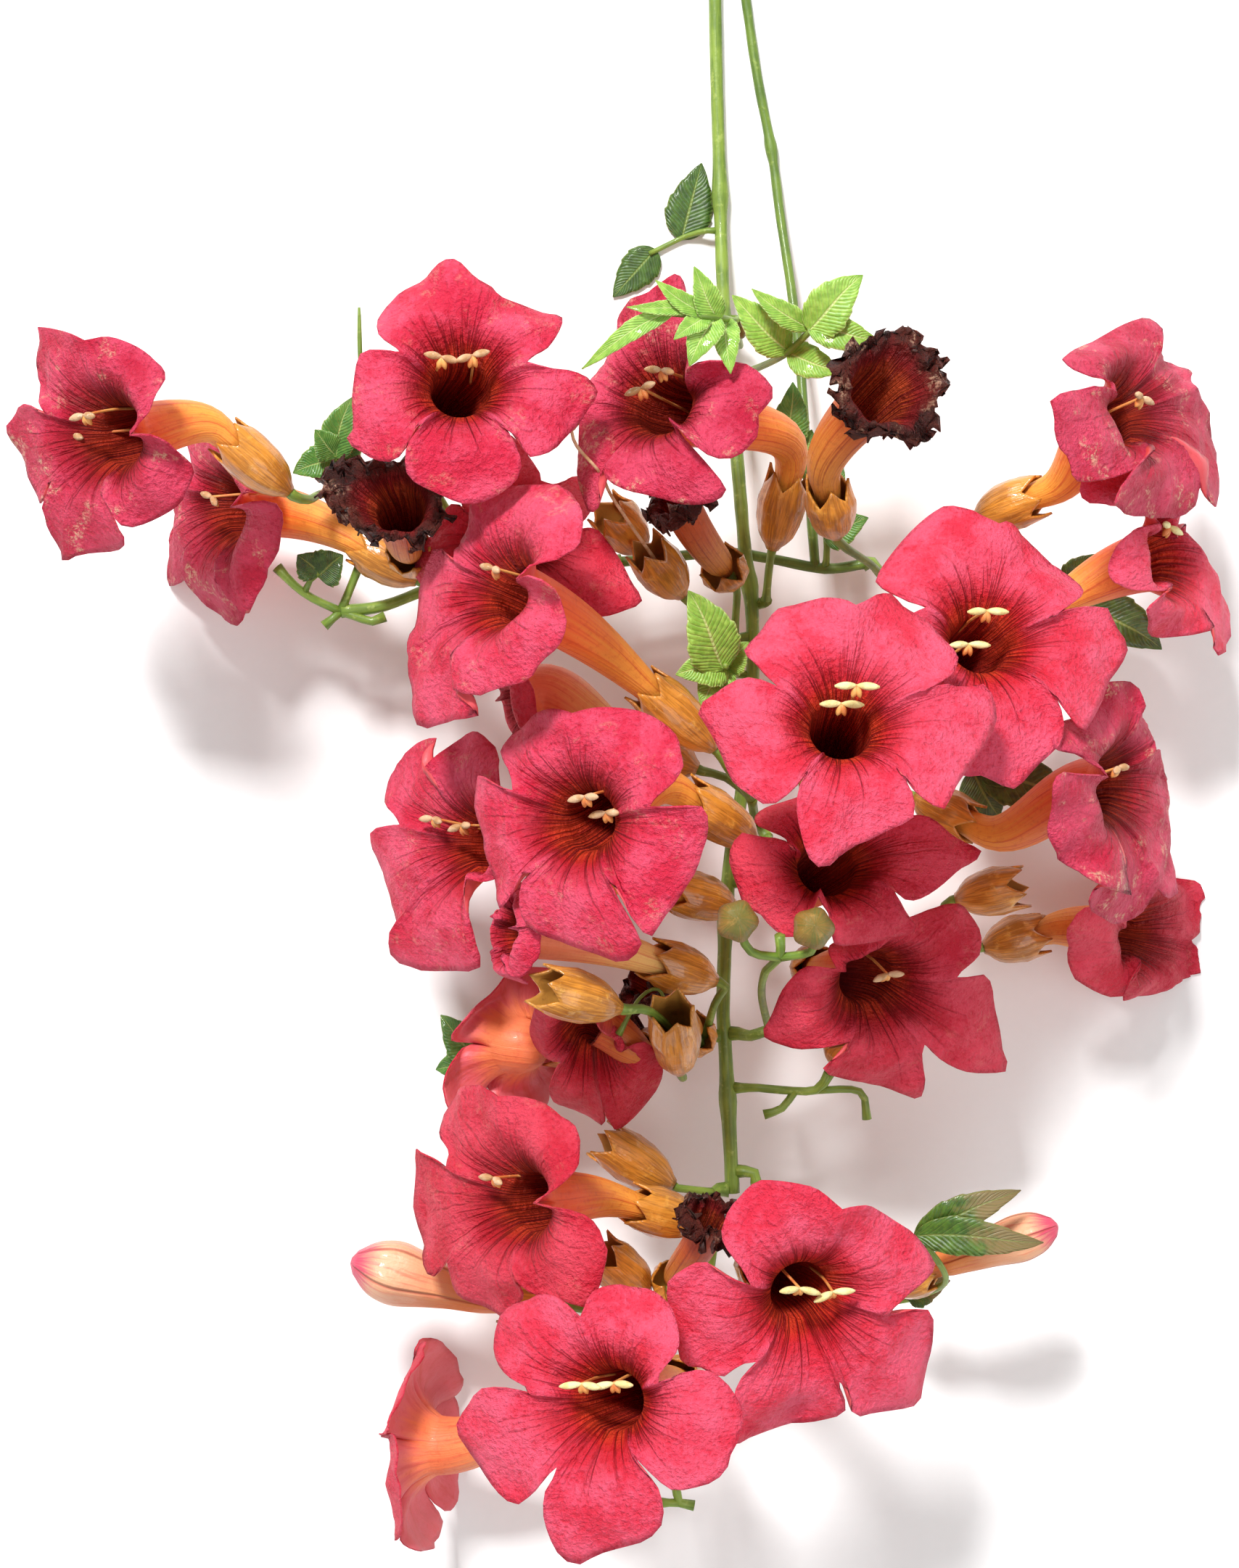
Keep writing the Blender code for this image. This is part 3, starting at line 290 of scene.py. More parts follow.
def colour(text):
    # Red, green and blue as two hexadecimal digits each, made linear: ((c + 0.055) / 1.055) ** 2.4.
    values = [int(text[i : i + 2], 16) / 255 for i in (0, 2, 4)]
    return tuple(c / 12.92 if c < 0.04 else ((c + 0.055) / 1.055) ** 2.4 for c in values)


# Petal colours by tone: limb, its pale patches, which are partly the petal's own uneven tone and partly
# painted sheen, the funnel below it, darker partly by painted shade, throat and the lines in it, and how
# strongly it is scuffed.
petalTones = {
    "coral": {"limb": "E42E4A", "pale": "F65A78", "funnel": "CC1420", "throat": "A40A0C", "line": "E0401C",
              "scuff": 0.0},
    "pink": {"limb": "D82446", "pale": "F05272", "funnel": "B80E1C", "throat": "8C0808", "line": "D83C18",
             "scuff": 0.3},
    "rose": {"limb": "D0203A", "pale": "E4445A", "funnel": "B00E18", "throat": "86080A", "line": "CC3C18",
             "scuff": 0.12},
    "magenta": {"limb": "C41E40", "pale": "E04868", "funnel": "A00C18", "throat": "7A060A", "line": "C03818",
                "scuff": 0.8},
    "worn": {"limb": "2A100C", "pale": "5A2418", "funnel": "8A1014", "throat": "7A0A08", "line": "C04A1C",
             "scuff": 0.6},
}
tubeTones = {
    "warm": {"tube": "F05C26", "neck": "F5A03C", "limb": "DC4C54", "streak": "C02C12"},
    "soft": {"tube": "EC8258", "neck": "F4C070", "limb": "DC5068", "streak": "D45A34"},
    "deep": {"tube": "C44C22", "neck": "D07A34", "limb": "C04048", "streak": "8A2410"},
    "worn": {"tube": "B8501E", "neck": "D08A38", "limb": "34160E", "streak": "7A2A10"},
    "back": {"tube": "EC7C4C", "neck": "F0A058", "limb": "D8606A", "streak": "C84830"},
}

# In each look a scale is a noise scale, counts are a streak's across and along, a band is where along
# the piece a soft step starts and ends, a split is the same in the noise, and the rest are colours and
# strengths.
petalLook = {
    "roughness": 0.55, "specular": 0.3, "subsurface": 0.1, "crepe": 1.0, "veins": 0.42, "depth": 1.5,
    "dusk": "5A0408", "scuff": "E8B898", "lines": 0.8, "creaseShade": 0.2, "drift": 0.08,
    "broadScale": 90, "crepeScale": 760, "patchScale": 130, "scuffScale": 800,
    "lineCounts": (17, 0.9), "veinCounts": (6, 1.3), "fanCounts": (12, 0.8), "wrinkleCounts": (30, 12),
    "veinSharpness": 22, "fanSharpness": 16,
    "lineBand": (0.15, 0.45), "funnelBand": (0.52, 0.66), "limbBand": (0.58, 0.84),
    "veinBand": (1.02, 0.6), "fanBand": (0.84, 0.6), "duskBand": (0.6, 0.8), "patchBand": (0.62, 0.85),
    "paleSheenSplit": (0.36, 0.62), "lineSplit": (0.34, 0.5), "creaseShadeSplit": (0.46, 0.3),
    "patchSplit": (0.54, 0.68), "scuffSplit": (0.46, 0.6),
}


def petalInside(tone):
    # u counts the lobes and v runs from the tube's start at 0, over the throat at 0.5, to the margin at 1.
    tones, look = petalTones[tone], petalLook
    graph = Graph("petal_" + tone, look["roughness"], 0, look["subsurface"])
    graph.shader.inputs["Specular IOR Level"].default_value = look["specular"]
    u, v = graph.uv()
    spot = graph.position()
    broad = graph.noise(spot, look["broadScale"], 2)
    crepe = graph.noise(spot, look["crepeScale"], 4, 0.65)
    # Paler patches where the broad and crepe noise is high: partly the petal's own uneven tone, partly
    # painted sheen on the raised crepe.
    paleSheen = graph.step(broad * 0.65 + crepe * 0.35, *look["paleSheenSplit"])
    limb = graph.mix(paleSheen, colour(tones["limb"]), colour(tones["pale"]))
    height = v + (broad - 0.5) * look["drift"]
    stripes = graph.streaks(u, v, look["lineCounts"], 0, 1, 0.5)
    glow = graph.step(stripes, *look["lineSplit"]) * graph.step(v, *look["lineBand"])
    throat = graph.mix(glow * look["lines"], colour(tones["throat"]), colour(tones["line"]))
    # Darker red from the limb down the funnel into the throat: partly the flower's own darker throat, partly
    # painted shade inside the funnel.
    base = graph.mix(graph.step(height, *look["funnelBand"]), throat, colour(tones["funnel"]))
    base = graph.mix(graph.step(height, *look["limbBand"]), base, limb)
    # Painted shade: the colour darkens towards the funnel's red in the crepe's hollows, where the bump is
    # lowest.
    base = graph.mix(graph.step(crepe, *look["creaseShadeSplit"]) * look["creaseShade"], base, colour(tones["funnel"]))
    sideVeins = graph.streaks(u, v, look["veinCounts"], broad * 0.7, 2)
    fanVeins = graph.streaks(u, v, look["fanCounts"], 3)
    vein = graph.ridges(sideVeins, look["veinSharpness"]) * graph.step(v, *look["veinBand"])
    fan = graph.ridges(fanVeins, look["fanSharpness"]) * graph.step(v, *look["fanBand"])
    vein = graph.math("MAXIMUM", vein, fan)
    # Vein colour: near-black towards the throat, in part the same painted shade as the funnel, and the
    # funnel's red out on the limb.
    dusk = graph.mix(graph.step(v, *look["duskBand"]), colour(look["dusk"]), colour(tones["funnel"]))
    base = graph.mix(vein * look["veins"], base, dusk)
    if tones["scuff"]:
        patch = graph.noise(spot, look["patchScale"], 3, 0.6)
        patch = graph.step(patch, *look["patchSplit"]) * graph.step(v, *look["patchBand"])
        worn = patch * graph.step(graph.noise(spot, look["scuffScale"], 4, 0.75), *look["scuffSplit"])
        base = graph.mix(worn * tones["scuff"], base, colour(look["scuff"]))
    graph.colour(base)
    wrinkle = graph.streaks(u, v, look["wrinkleCounts"], broad * 2, 3, 0.6)
    graph.bump(wrinkle * 0.5 + crepe * 1.3 - vein * 0.7, look["crepe"], look["depth"] * mm)
    return graph.material


tubeLook = {
    "roughness": 0.5, "coat": 0.05, "streak": 0.55, "speck": 0.3, "bump": 0.5, "depth": 0.8,
    "broadScale": 120, "fineScale": 600, "streakCounts": (9, 2), "neckDrift": 0.4, "limbDrift": 0.3,
    "neckBand": (0.05, 0.45), "limbBand": (0.52, 0.78), "streakSplit": (0.5, 0.7), "speckSplit": (0.5, 0.3),
}


def petalOutside(tone):
    # Orange at the neck, red-orange along the tube, then the limb's paler underside.
    tones, look = tubeTones[tone], tubeLook
    graph = Graph("tube_" + tone, look["roughness"], look["coat"], petalLook["subsurface"])
    u, v = graph.uv()
    spot = graph.position()
    broad = graph.noise(spot, look["broadScale"], 2)
    fine = graph.noise(spot, look["fineScale"], 4, 0.7)
    streak = graph.streaks(u, v, look["streakCounts"], 0, 3, 0.6)
    past = graph.step(v + (streak - 0.5) * look["neckDrift"], *look["neckBand"])
    tube = graph.mix(past, colour(tones["neck"]), colour(tones["tube"]))
    past = graph.step(v + (streak - 0.5) * look["limbDrift"], *look["limbBand"])
    base = graph.mix(past, tube, colour(tones["limb"]))
    base = graph.mix(graph.step(streak, *look["streakSplit"]) * look["streak"], base, colour(tones["streak"]))
    base = graph.mix(graph.step(fine, *look["speckSplit"]) * look["speck"], base, colour(tones["streak"]))
    graph.colour(base)
    graph.bump(streak + broad * 0.6 + fine * 0.5, look["bump"], look["depth"] * mm)
    return graph.material


budLook = {
    "roughness": 0.45, "coat": 0.15, "subsurface": 0.08, "streak": 0.6, "furrow": 0.6, "bump": 0.6,
    "depth": 0.8,
    "foot": "E88A44", "skin": "ECB088", "streaks": "E0684A", "tip": "D64A66", "furrows": "B43C30",
    "fineScale": 500, "streakCounts": (7, 2.5), "skinDrift": 0.3, "tipDrift": 0.25,
    "skinBand": (0.1, 0.7), "tipBand": (0.8, 0.95), "furrowBand": (0.42, 0.5), "streakSplit": (0.5, 0.68),
}


def budMaterial(name):
    # Peach with orange streaks along it, and a pink tip where the petals fold in.
    look = budLook
    graph = Graph(name, look["roughness"], look["coat"], look["subsurface"])
    u, v = graph.uv()
    streak = graph.streaks(u, v, look["streakCounts"], 0, 3, 0.6)
    fine = graph.noise(graph.position(), look["fineScale"], 4, 0.7)
    furrow = graph.step(graph.math("ABSOLUTE", graph.math("FRACT", u) - 0.5), *look["furrowBand"])
    past = graph.step(v + (streak - 0.5) * look["skinDrift"], *look["skinBand"])
    base = graph.mix(past, colour(look["foot"]), colour(look["skin"]))
    base = graph.mix(graph.step(streak, *look["streakSplit"]) * look["streak"], base, colour(look["streaks"]))
    past = graph.step(v + (streak - 0.5) * look["tipDrift"], *look["tipBand"])
    base = graph.mix(past, base, colour(look["tip"]))
    base = graph.mix(furrow * look["furrow"], base, colour(look["furrows"]))
    graph.colour(base)
    graph.bump(streak * 0.7 + fine * 0.6 - furrow * 1.2, look["bump"], look["depth"] * mm)
    return graph.material


mottle = {"streakCounts": (14, 3), "split": (0.38, 0.62), "speckSplit": (0.56, 0.72), "speck": 0.6,
          "depth": 0.5}


def mottled(name, colours, roughness, scale=300, strength=0.4, coat=0.0, lengthwise=0.0):
    # Two colours by broad noise and a third in fine specks, with a bump from both.
    first, second, third = (colour(text) for text in colours)
    graph = Graph(name, roughness, coat)
    spot = graph.position()
    u, v = graph.uv()
    broad = graph.noise(spot, scale / 3, 2)
    fine = graph.noise(spot, scale, 4, 0.65)
    streak = graph.streaks(u, v, mottle["streakCounts"], broad, 2, 0.5)
    mixed = graph.step(broad * (1 - lengthwise) + streak * lengthwise, *mottle["split"])
    base = graph.mix(mixed, first, second)
    base = graph.mix(graph.step(fine, *mottle["speckSplit"]) * mottle["speck"], base, third)
    graph.colour(base)
    graph.bump(fine + streak * lengthwise, strength, mottle["depth"] * mm)
    return graph.material


blade = {"rows": 34, "across": 7, "teeth": 5, "cut": 0.10, "fold": 0.22, "arch": 0.08, "thickness": 0.35,
         "width": 1.12, "half": 0.56, "least": 0.15, "sunk": 0.6, "droop": 0.05, "sway": 0.04, "quilt": 0.25,
         "flatQuilt": 0.3, "veins": 9, "slant": 1.9}
leafLook = {
    "roughness": 0.42, "coat": 0.12, "subsurface": 0.08, "bump": 0.5, "depth": 0.6,
    "waverScale": 160, "cellScale": 500, "dryScale": 220, "waver": 0.35, "dryDrift": 0.7,
    "sideBand": (0.84, 0.97), "sideEnd": (1.0, 0.7), "ribBand": (0.09, 0.02), "rimBand": (0.9, 1.0),
    "dryBand": (0.4, 0.66), "cellSplit": (0.35, 0.7), "side": 0.22, "rib": 0.7, "rim": 0.5,
}


def leafMaterial(name, green, pale, vein, dry=None):
    # u runs across from -1 to 1, v along: a midrib at u 0 and side veins that slant towards the tip.
    # A dry leaf goes brown from its tip inwards.
    look = leafLook
    graph = Graph(name, look["roughness"], look["coat"], look["subsurface"])
    u, v = graph.uv()
    spot = graph.position()
    across = graph.math("ABSOLUTE", u)
    waver = graph.noise(spot, look["waverScale"], 2) * look["waver"]
    slant = v * blade["veins"] - across * blade["slant"] + waver
    saw = graph.math("ABSOLUTE", graph.math("FRACT", slant) - 0.5) * 2
    side = graph.step(saw, *look["sideBand"]) * graph.step(across, *look["sideEnd"])
    rib = graph.step(across, *look["ribBand"])
    cells = graph.noise(spot, look["cellScale"], 3, 0.6)
    base = graph.mix(graph.step(cells, *look["cellSplit"]), colour(green), colour(pale))
    if dry:
        edge = v + (graph.noise(spot, look["dryScale"], 4, 0.7) - 0.5) * look["dryDrift"]
        base = graph.mix(graph.step(edge, *look["dryBand"]), base, colour(dry))
    lines = graph.math("MAXIMUM", side * look["side"], rib * look["rib"])
    lines = graph.math("MAXIMUM", lines, graph.step(across, *look["rimBand"]) * look["rim"])
    base = graph.mix(lines, base, colour(vein))
    graph.colour(base)
    relief = cells * 0.4 - side * 0.5 - rib * 0.8 + graph.math("SINE", saw * 3.1) * 0.4
    graph.bump(relief, look["bump"], look["depth"] * mm)
    return graph.material


# Each open bloom: its mouth, the way it faces, and its calyx from seat to teeth. A place is a pixel across,
# a pixel down and a height in millimetres. Some have a size below 1, or tips that fall back by their own
# number of millimetres. Blooms whose margin wasn't read have the turn of their first lobe in degrees and
# the reach of their lobes in millimetres.
blooms = {
    "a": {"mouth": (135, 600, 90), "facing": (-0.55, -0.1, 0.83),
          "seat": (398, 678, 66), "teeth": (309, 600, 72)},
    "b": {"mouth": (290, 705, 33.2), "facing": (-0.8, -0.1, 0.6),
          "seat": (575, 800, 43), "teeth": (492, 748, 41)},
    "c": {"mouth": (632, 515, 103), "facing": (0, 0.3, 0.95),
          "seat": (590, 640, 46), "teeth": (598, 600, 62)},
    "d": {"mouth": (895, 540, 92), "facing": (-0.45, 0.3, 0.84),
          "seat": (1065, 755, 42), "teeth": (1088, 650, 52)},
    "g": {"mouth": (1580, 560, 78), "facing": (0.75, 0.25, 0.6),
          "seat": (1345, 715, 45), "teeth": (1437, 680, 52)},
    "h": {"mouth": (1625, 765, 60), "facing": (0.8, 0.15, 0.58),
          "seat": (1380, 880, 45), "teeth": (1460, 830, 50)},
    "i": {"mouth": (675, 805, 108), "facing": (-0.75, 0.3, 0.6),
          "seat": (983, 1031, 70), "teeth": (885, 942, 78)},
    "j": {"mouth": (700, 735, 74), "facing": (-0.2, 0.25, 0.94),
          "seat": (800, 790, 35), "teeth": (775, 775, 52)},
    "k": {"mouth": (690, 975, 55), "facing": (-0.8, -0.3, 0.1),
          "seat": (960, 1060, 60), "teeth": (865, 1020, 60), "roll": 60, "reach": 17},
    "l": {"mouth": (1165, 985, 125), "facing": (0.05, 0.4, 0.9),
          "seat": (1130, 1090, 62), "teeth": (1137, 1062, 79)},
    "m": {"mouth": (1365, 870, 96), "facing": (0.2, 0.35, 0.92),
          "seat": (1290, 960, 45), "teeth": (1300, 935, 61)},
    "n": {"mouth": (640, 1165, 75), "facing": (-0.7, 0, 0.7),
          "seat": (1011, 1250, 45), "teeth": (920, 1225, 52)},
    "o": {"mouth": (785, 1130, 110), "facing": (-0.5, 0.05, 0.86),
          "seat": (1040, 1160, 60), "teeth": (942, 1095, 72)},
    "p": {"mouth": (688, 1284, 89), "facing": (-0.85, 0.1, 0.3),
          "seat": (985, 1352, 58), "teeth": (893, 1322, 66), "roll": 100, "reach": 12, "size": 0.75},
    "q": {"mouth": (1150, 1180, 90), "facing": (0.15, 0.35, 0.92),
          "seat": (1080, 1260, 45), "teeth": (1090, 1240, 61)},
    "r": {"mouth": (1215, 1365, 74), "facing": (0.35, -0.3, 0.88),
          "seat": (1110, 1330, 36), "teeth": (1132, 1336, 50)},
    "s": {"mouth": (1560, 1085, 75), "facing": (0.85, 0, 0.55),
          "seat": (1262, 1100, 45), "teeth": (1345, 1140, 50)},
    "t": {"mouth": (1590, 1295, 24), "facing": (0.8, -0.1, 0.58),
          "seat": (1357, 1306, 23), "teeth": (1440, 1284, 22), "back": 7},
    "u": {"mouth": (695, 1432, 33), "facing": (-0.45, 0.1, -0.88),
          "seat": (845, 1448, 36), "teeth": (755, 1440, 34)},
    "v": {"mouth": (812, 1440, 66), "facing": (-0.1, -0.6, 0.75),
          "seat": (885, 1450, 40), "teeth": (880, 1452, 55), "size": 0.8},
    "w": {"mouth": (700, 1660, 84), "facing": (-0.7, 0.05, 0.7),
          "seat": (964, 1688, 48), "teeth": (866, 1660, 54)},
    "x": {"mouth": (829, 1935, 113), "facing": (-0.35, 0.1, 0.93),
          "seat": (950, 1900, 50), "teeth": (928, 1905, 67)},
    "y": {"mouth": (1118, 1800, 100), "facing": (0.25, -0.25, 0.93),
          "seat": (1040, 1740, 40), "teeth": (1052, 1748, 57)},
    "z": {"mouth": (560, 1990, 27), "facing": (-0.9, 0, -0.25),
          "seat": (830, 1960, 42), "teeth": (740, 1968, 39), "roll": 90, "reach": 27},
}

# Withered corollas that still hang on.
withered = {
    "e": {"mouth": (545, 690, 92), "facing": (-0.1, 0.35, 0.93),
          "seat": (572, 772, 54), "teeth": (562, 757, 68), "size": 0.8},
    "f": {"mouth": (1228, 530, 95), "facing": (0.35, 0.25, 0.9),
          "seat": (1153, 739, 58), "teeth": (1138, 665, 70), "size": 0.95},
    "cc": {"mouth": (985, 1672, 72), "facing": (0.3, 0.8, 0.5),
           "seat": (925, 1780, 42), "teeth": (935, 1760, 50), "roll": 90, "reach": 8, "size": 0.55},
    "dd": {"mouth": (930, 680, 72), "facing": (-0.4, 0.7, 0.5),
           "seat": (1010, 800, 42), "teeth": (990, 775, 50), "roll": 90, "reach": 9, "size": 0.6},
    "ee": {"mouth": (885, 1352, 50), "facing": (-0.6, 0.5, 0.5),
           "seat": (965, 1440, 37), "teeth": (950, 1420, 43), "roll": 60, "reach": 9, "size": 0.55},
}

# Lobes read from the photograph, upper left first and clockwise. Each starts at its notch, and a third
# number lifts a point towards the way the bloom faces, in millimetres.
margins = {
    "a": [
        [(62, 570), (50, 550), (40, 520), (41, 483), (45, 453), (51, 451), (71, 454), (100, 461)],
        [(114, 469), (133, 464), (153, 466), (180, 480), (201, 499), (214, 521), (210, 545), (199, 571),
         (184, 590)],
        [(177, 600, 3), (189, 599, 5), (206, 601, 5), (227, 614, 3), (242, 633), (250, 647), (245, 669),
         (236, 695), (206, 715), (174, 728), (159, 716), (147, 695)],
        [(140, 682), (145, 699), (156, 725), (163, 749), (142, 760), (112, 763), (92, 769), (79, 776),
         (71, 757), (59, 725), (57, 701), (63, 681)],
        [(69, 663), (60, 669), (56, 684), (51, 696), (38, 681), (26, 657), (15, 625), (3, 594), (6, 583),
         (24, 561), (38, 557), (50, 564)],
    ],
    "b": [
        [(257, 668), (258, 650), (250, 634), (248, 610), (251, 590), (267, 592), (280, 596)],
        [(290, 599), (302, 602), (319, 610), (345, 636), (361, 660), (361, 680), (348, 677), (330, 679)],
        [(316, 699, 2), (326, 697, 4), (348, 692, 3), (366, 695), (372, 722), (366, 763), (348, 810),
         (331, 850), (321, 839), (306, 814)],
        [(297, 788), (309, 822), (320, 842), (313, 864), (289, 849), (265, 822), (251, 802)],
        [(248, 772), (246, 796), (233, 806), (217, 809), (217, 784), (226, 749), (230, 713), (242, 687)],
    ],
    "c": [
        [(552, 487), (547, 479), (525, 461), (519, 450), (520, 430), (534, 411), (558, 392), (582, 381),
         (603, 363), (622, 355), (637, 362), (646, 373)],
        [(660, 384), (676, 391), (687, 403), (707, 409), (745, 422), (771, 430), (776, 437), (769, 456),
         (755, 475), (736, 489)],
        [(727, 501), (738, 503), (762, 502), (790, 505), (812, 514), (824, 537), (812, 556), (779, 598),
         (760, 618), (738, 626), (726, 622), (714, 603)],
        [(692, 587), (708, 604), (718, 640), (690, 672), (645, 688), (617, 682), (590, 670), (562, 652),
         (558, 628), (565, 608)],
        [(585, 584), (569, 592), (563, 606), (553, 622), (536, 629), (517, 625), (496, 613), (476, 598),
         (486, 580), (485, 544), (489, 506), (496, 485), (513, 480), (534, 484)],
    ],
    "d": [
        [(820, 552), (804, 528), (815, 503), (824, 490), (844, 450), (851, 430), (869, 411), (880, 408)],
        [(893, 402), (905, 385), (922, 369), (933, 380), (941, 420), (947, 465), (950, 486)],
        [(948, 508, 5), (968, 497, 7), (1000, 492, 4), (1030, 499), (1059, 533), (1038, 568), (1040, 584),
         (1034, 602), (1008, 624), (981, 627, 2), (956, 611, 4), (936, 590, 4)],
        [(926, 582), (940, 602), (961, 625), (988, 661), (985, 674), (967, 686), (936, 688), (905, 683),
         (860, 674), (838, 662)],
        [(832, 648), (822, 662), (822, 690), (808, 700), (799, 694), (791, 663), (791, 629), (795, 591),
         (803, 562)],
    ],
    "g": [
        [(1536, 536), (1530, 523), (1500, 507), (1481, 490), (1500, 475), (1523, 465), (1550, 448),
         (1580, 437), (1597, 443), (1605, 460)],
        [(1602, 475), (1623, 490), (1643, 510), (1647, 524)],
        [(1646, 537), (1660, 540), (1673, 560), (1685, 587), (1690, 620), (1693, 647), (1687, 693),
         (1673, 687)],
        [(1665, 634), (1666, 660), (1663, 683), (1650, 703), (1633, 708), (1577, 706), (1545, 690),
         (1560, 650)],
        [(1588, 622), (1575, 640), (1545, 655), (1505, 655), (1487, 627), (1470, 602), (1462, 555),
         (1464, 542), (1490, 535), (1514, 532)],
    ],
    "h": [
        [(1600, 722), (1588, 705), (1560, 690), (1545, 677), (1524, 690), (1507, 676), (1505, 652),
         (1537, 648), (1565, 633), (1585, 630)],
        [(1600, 640), (1617, 660), (1630, 687), (1629, 712)],
        [(1624, 740), (1637, 722), (1650, 740), (1667, 767), (1684, 797), (1697, 823), (1704, 853),
         (1700, 880), (1686, 905), (1678, 890)],
        [(1674, 868), (1650, 874), (1620, 875), (1602, 868), (1592, 850), (1590, 835)],
        [(1615, 812), (1602, 814), (1572, 809), (1551, 793), (1549, 752), (1566, 732), (1588, 723)],
    ],
    "i": [
        [(624, 772), (620, 747), (629, 728), (645, 706)],
        [(655, 696), (666, 689), (684, 668), (711, 663), (747, 661), (763, 667), (777, 683), (791, 696),
         (794, 717), (792, 750), (771, 762), (741, 780)],
        [(712, 797, 2), (730, 793, 5), (750, 804, 4), (762, 825), (767, 855), (753, 888), (726, 915),
         (705, 937), (675, 949), (644, 955), (622, 950), (620, 930)],
        [(623, 904), (620, 948), (630, 964), (639, 977), (626, 985), (596, 991), (566, 998), (560, 976),
         (554, 940), (557, 912), (570, 890)],
        [(587, 869), (563, 900), (554, 917), (547, 897), (551, 870), (563, 831), (575, 795), (587, 768),
         (602, 754)],
    ],
    "j": [
        [(640, 705), (630, 672), (632, 635), (648, 608), (666, 596), (693, 593), (711, 605), (729, 629),
         (745, 653)],
        [(747, 664), (765, 664), (789, 650), (805, 660), (812, 700)],
        [(790, 735), (801, 729), (819, 726), (834, 741), (852, 768), (867, 798), (882, 825), (855, 840),
         (819, 849), (801, 840)],
        [(777, 816), (772, 850), (740, 880), (700, 870), (675, 835)],
        [(655, 790), (600, 802), (571, 795), (568, 771), (572, 753), (605, 723), (617, 699), (632, 696)],
    ],
    "l": [
        [(1081, 950), (1060, 928), (1040, 905), (1028, 888), (1049, 865), (1062, 846), (1077, 832),
         (1117, 824), (1147, 825), (1166, 829)],
        [(1179, 835), (1200, 821), (1218, 810), (1231, 808), (1247, 826), (1273, 843), (1297, 871),
         (1317, 892), (1323, 903), (1318, 919), (1300, 938)],
        [(1276, 951), (1294, 943), (1330, 939), (1358, 936), (1370, 950), (1377, 985), (1353, 1031),
         (1324, 1072), (1306, 1108), (1296, 1111), (1265, 1090)],
        [(1240, 1061), (1260, 1090), (1263, 1106), (1260, 1122), (1220, 1140), (1164, 1169), (1144, 1188),
         (1130, 1190), (1114, 1174), (1101, 1128), (1099, 1099), (1105, 1078)],
        [(1121, 1053), (1108, 1069), (1090, 1088), (1063, 1102), (1037, 1088), (1013, 1069), (996, 1031),
         (974, 990), (963, 969), (984, 954), (1013, 936), (1040, 933), (1061, 940)],
    ],
    "m": [
        [(1278, 838), (1262, 832), (1246, 823), (1223, 806), (1214, 790), (1231, 761), (1262, 725),
         (1295, 699), (1314, 694), (1345, 703)],
        [(1379, 720), (1395, 717), (1419, 736), (1449, 765), (1485, 791), (1497, 813), (1487, 824)],
        [(1454, 850), (1466, 842), (1488, 835), (1529, 833), (1541, 850), (1561, 885), (1546, 918),
         (1532, 937), (1521, 968), (1500, 1003), (1492, 1002), (1474, 984)],
        [(1445, 951), (1465, 976), (1471, 1000), (1463, 1025), (1435, 1050), (1412, 1076), (1400, 1081),
         (1356, 1065), (1328, 1064), (1300, 1040), (1295, 990)],
        [(1312, 962), (1290, 990), (1250, 965), (1225, 905), (1240, 858), (1260, 845)],
    ],
    "n": [
        [(550, 1137), (533, 1119), (517, 1096), (520, 1074), (543, 1046), (568, 1023), (596, 1018),
         (588, 1035)],
        [(588, 1064), (597, 1045), (619, 1020), (641, 1008), (657, 1017), (676, 1046), (682, 1071),
         (690, 1095)],
        [(700, 1120), (712, 1150), (700, 1190), (670, 1215)],
        [(643, 1212), (634, 1255), (644, 1296), (647, 1319), (642, 1339), (622, 1339), (574, 1339),
         (555, 1333), (536, 1325), (533, 1303), (540, 1280), (552, 1261), (562, 1242)],
        [(567, 1230), (556, 1246), (545, 1275), (536, 1283), (527, 1258), (520, 1223), (514, 1195),
         (506, 1169), (509, 1147), (527, 1139)],
    ],
    "o": [
        [(708, 1090), (701, 1074), (685, 1049), (682, 1033), (692, 1017), (717, 998), (736, 982),
         (758, 977), (774, 979)],
        [(787, 983), (803, 977), (822, 974), (863, 977), (898, 990), (920, 1012), (936, 1039), (939, 1057),
         (927, 1077), (903, 1098)],
        [(895, 1112), (923, 1112), (963, 1112), (969, 1125), (961, 1163), (952, 1195), (933, 1230),
         (911, 1261), (890, 1293), (876, 1277), (863, 1252), (853, 1230)],
        [(839, 1213), (847, 1239), (863, 1268), (874, 1305), (860, 1318), (847, 1327), (819, 1318),
         (780, 1303), (736, 1287), (717, 1268), (714, 1245), (718, 1220)],
        [(730, 1203), (717, 1204, 2), (704, 1230), (685, 1252), (676, 1239), (668, 1198), (660, 1163),
         (651, 1125), (650, 1087), (657, 1068), (673, 1074), (688, 1085)],
    ],
    "q": [
        [(1093, 1170), (1079, 1148), (1050, 1132), (1045, 1120), (1058, 1108), (1090, 1100), (1120, 1095)],
        [(1150, 1100), (1180, 1095), (1220, 1100), (1245, 1112)],
        [(1257, 1124), (1276, 1123), (1298, 1131), (1319, 1145), (1358, 1170), (1329, 1191), (1295, 1222),
         (1258, 1242), (1242, 1234)],
        [(1230, 1223), (1239, 1237), (1252, 1255), (1269, 1275), (1236, 1285), (1202, 1294), (1175, 1299),
         (1151, 1299), (1146, 1265), (1136, 1250)],
        [(1128, 1236), (1115, 1262), (1094, 1290), (1073, 1277), (1052, 1255), (1030, 1242), (1024, 1225),
         (1013, 1197), (1008, 1172), (1023, 1146), (1045, 1152), (1079, 1157)],
    ],
    "r": [
        [(1153, 1335), (1150, 1314), (1175, 1302), (1199, 1296)],
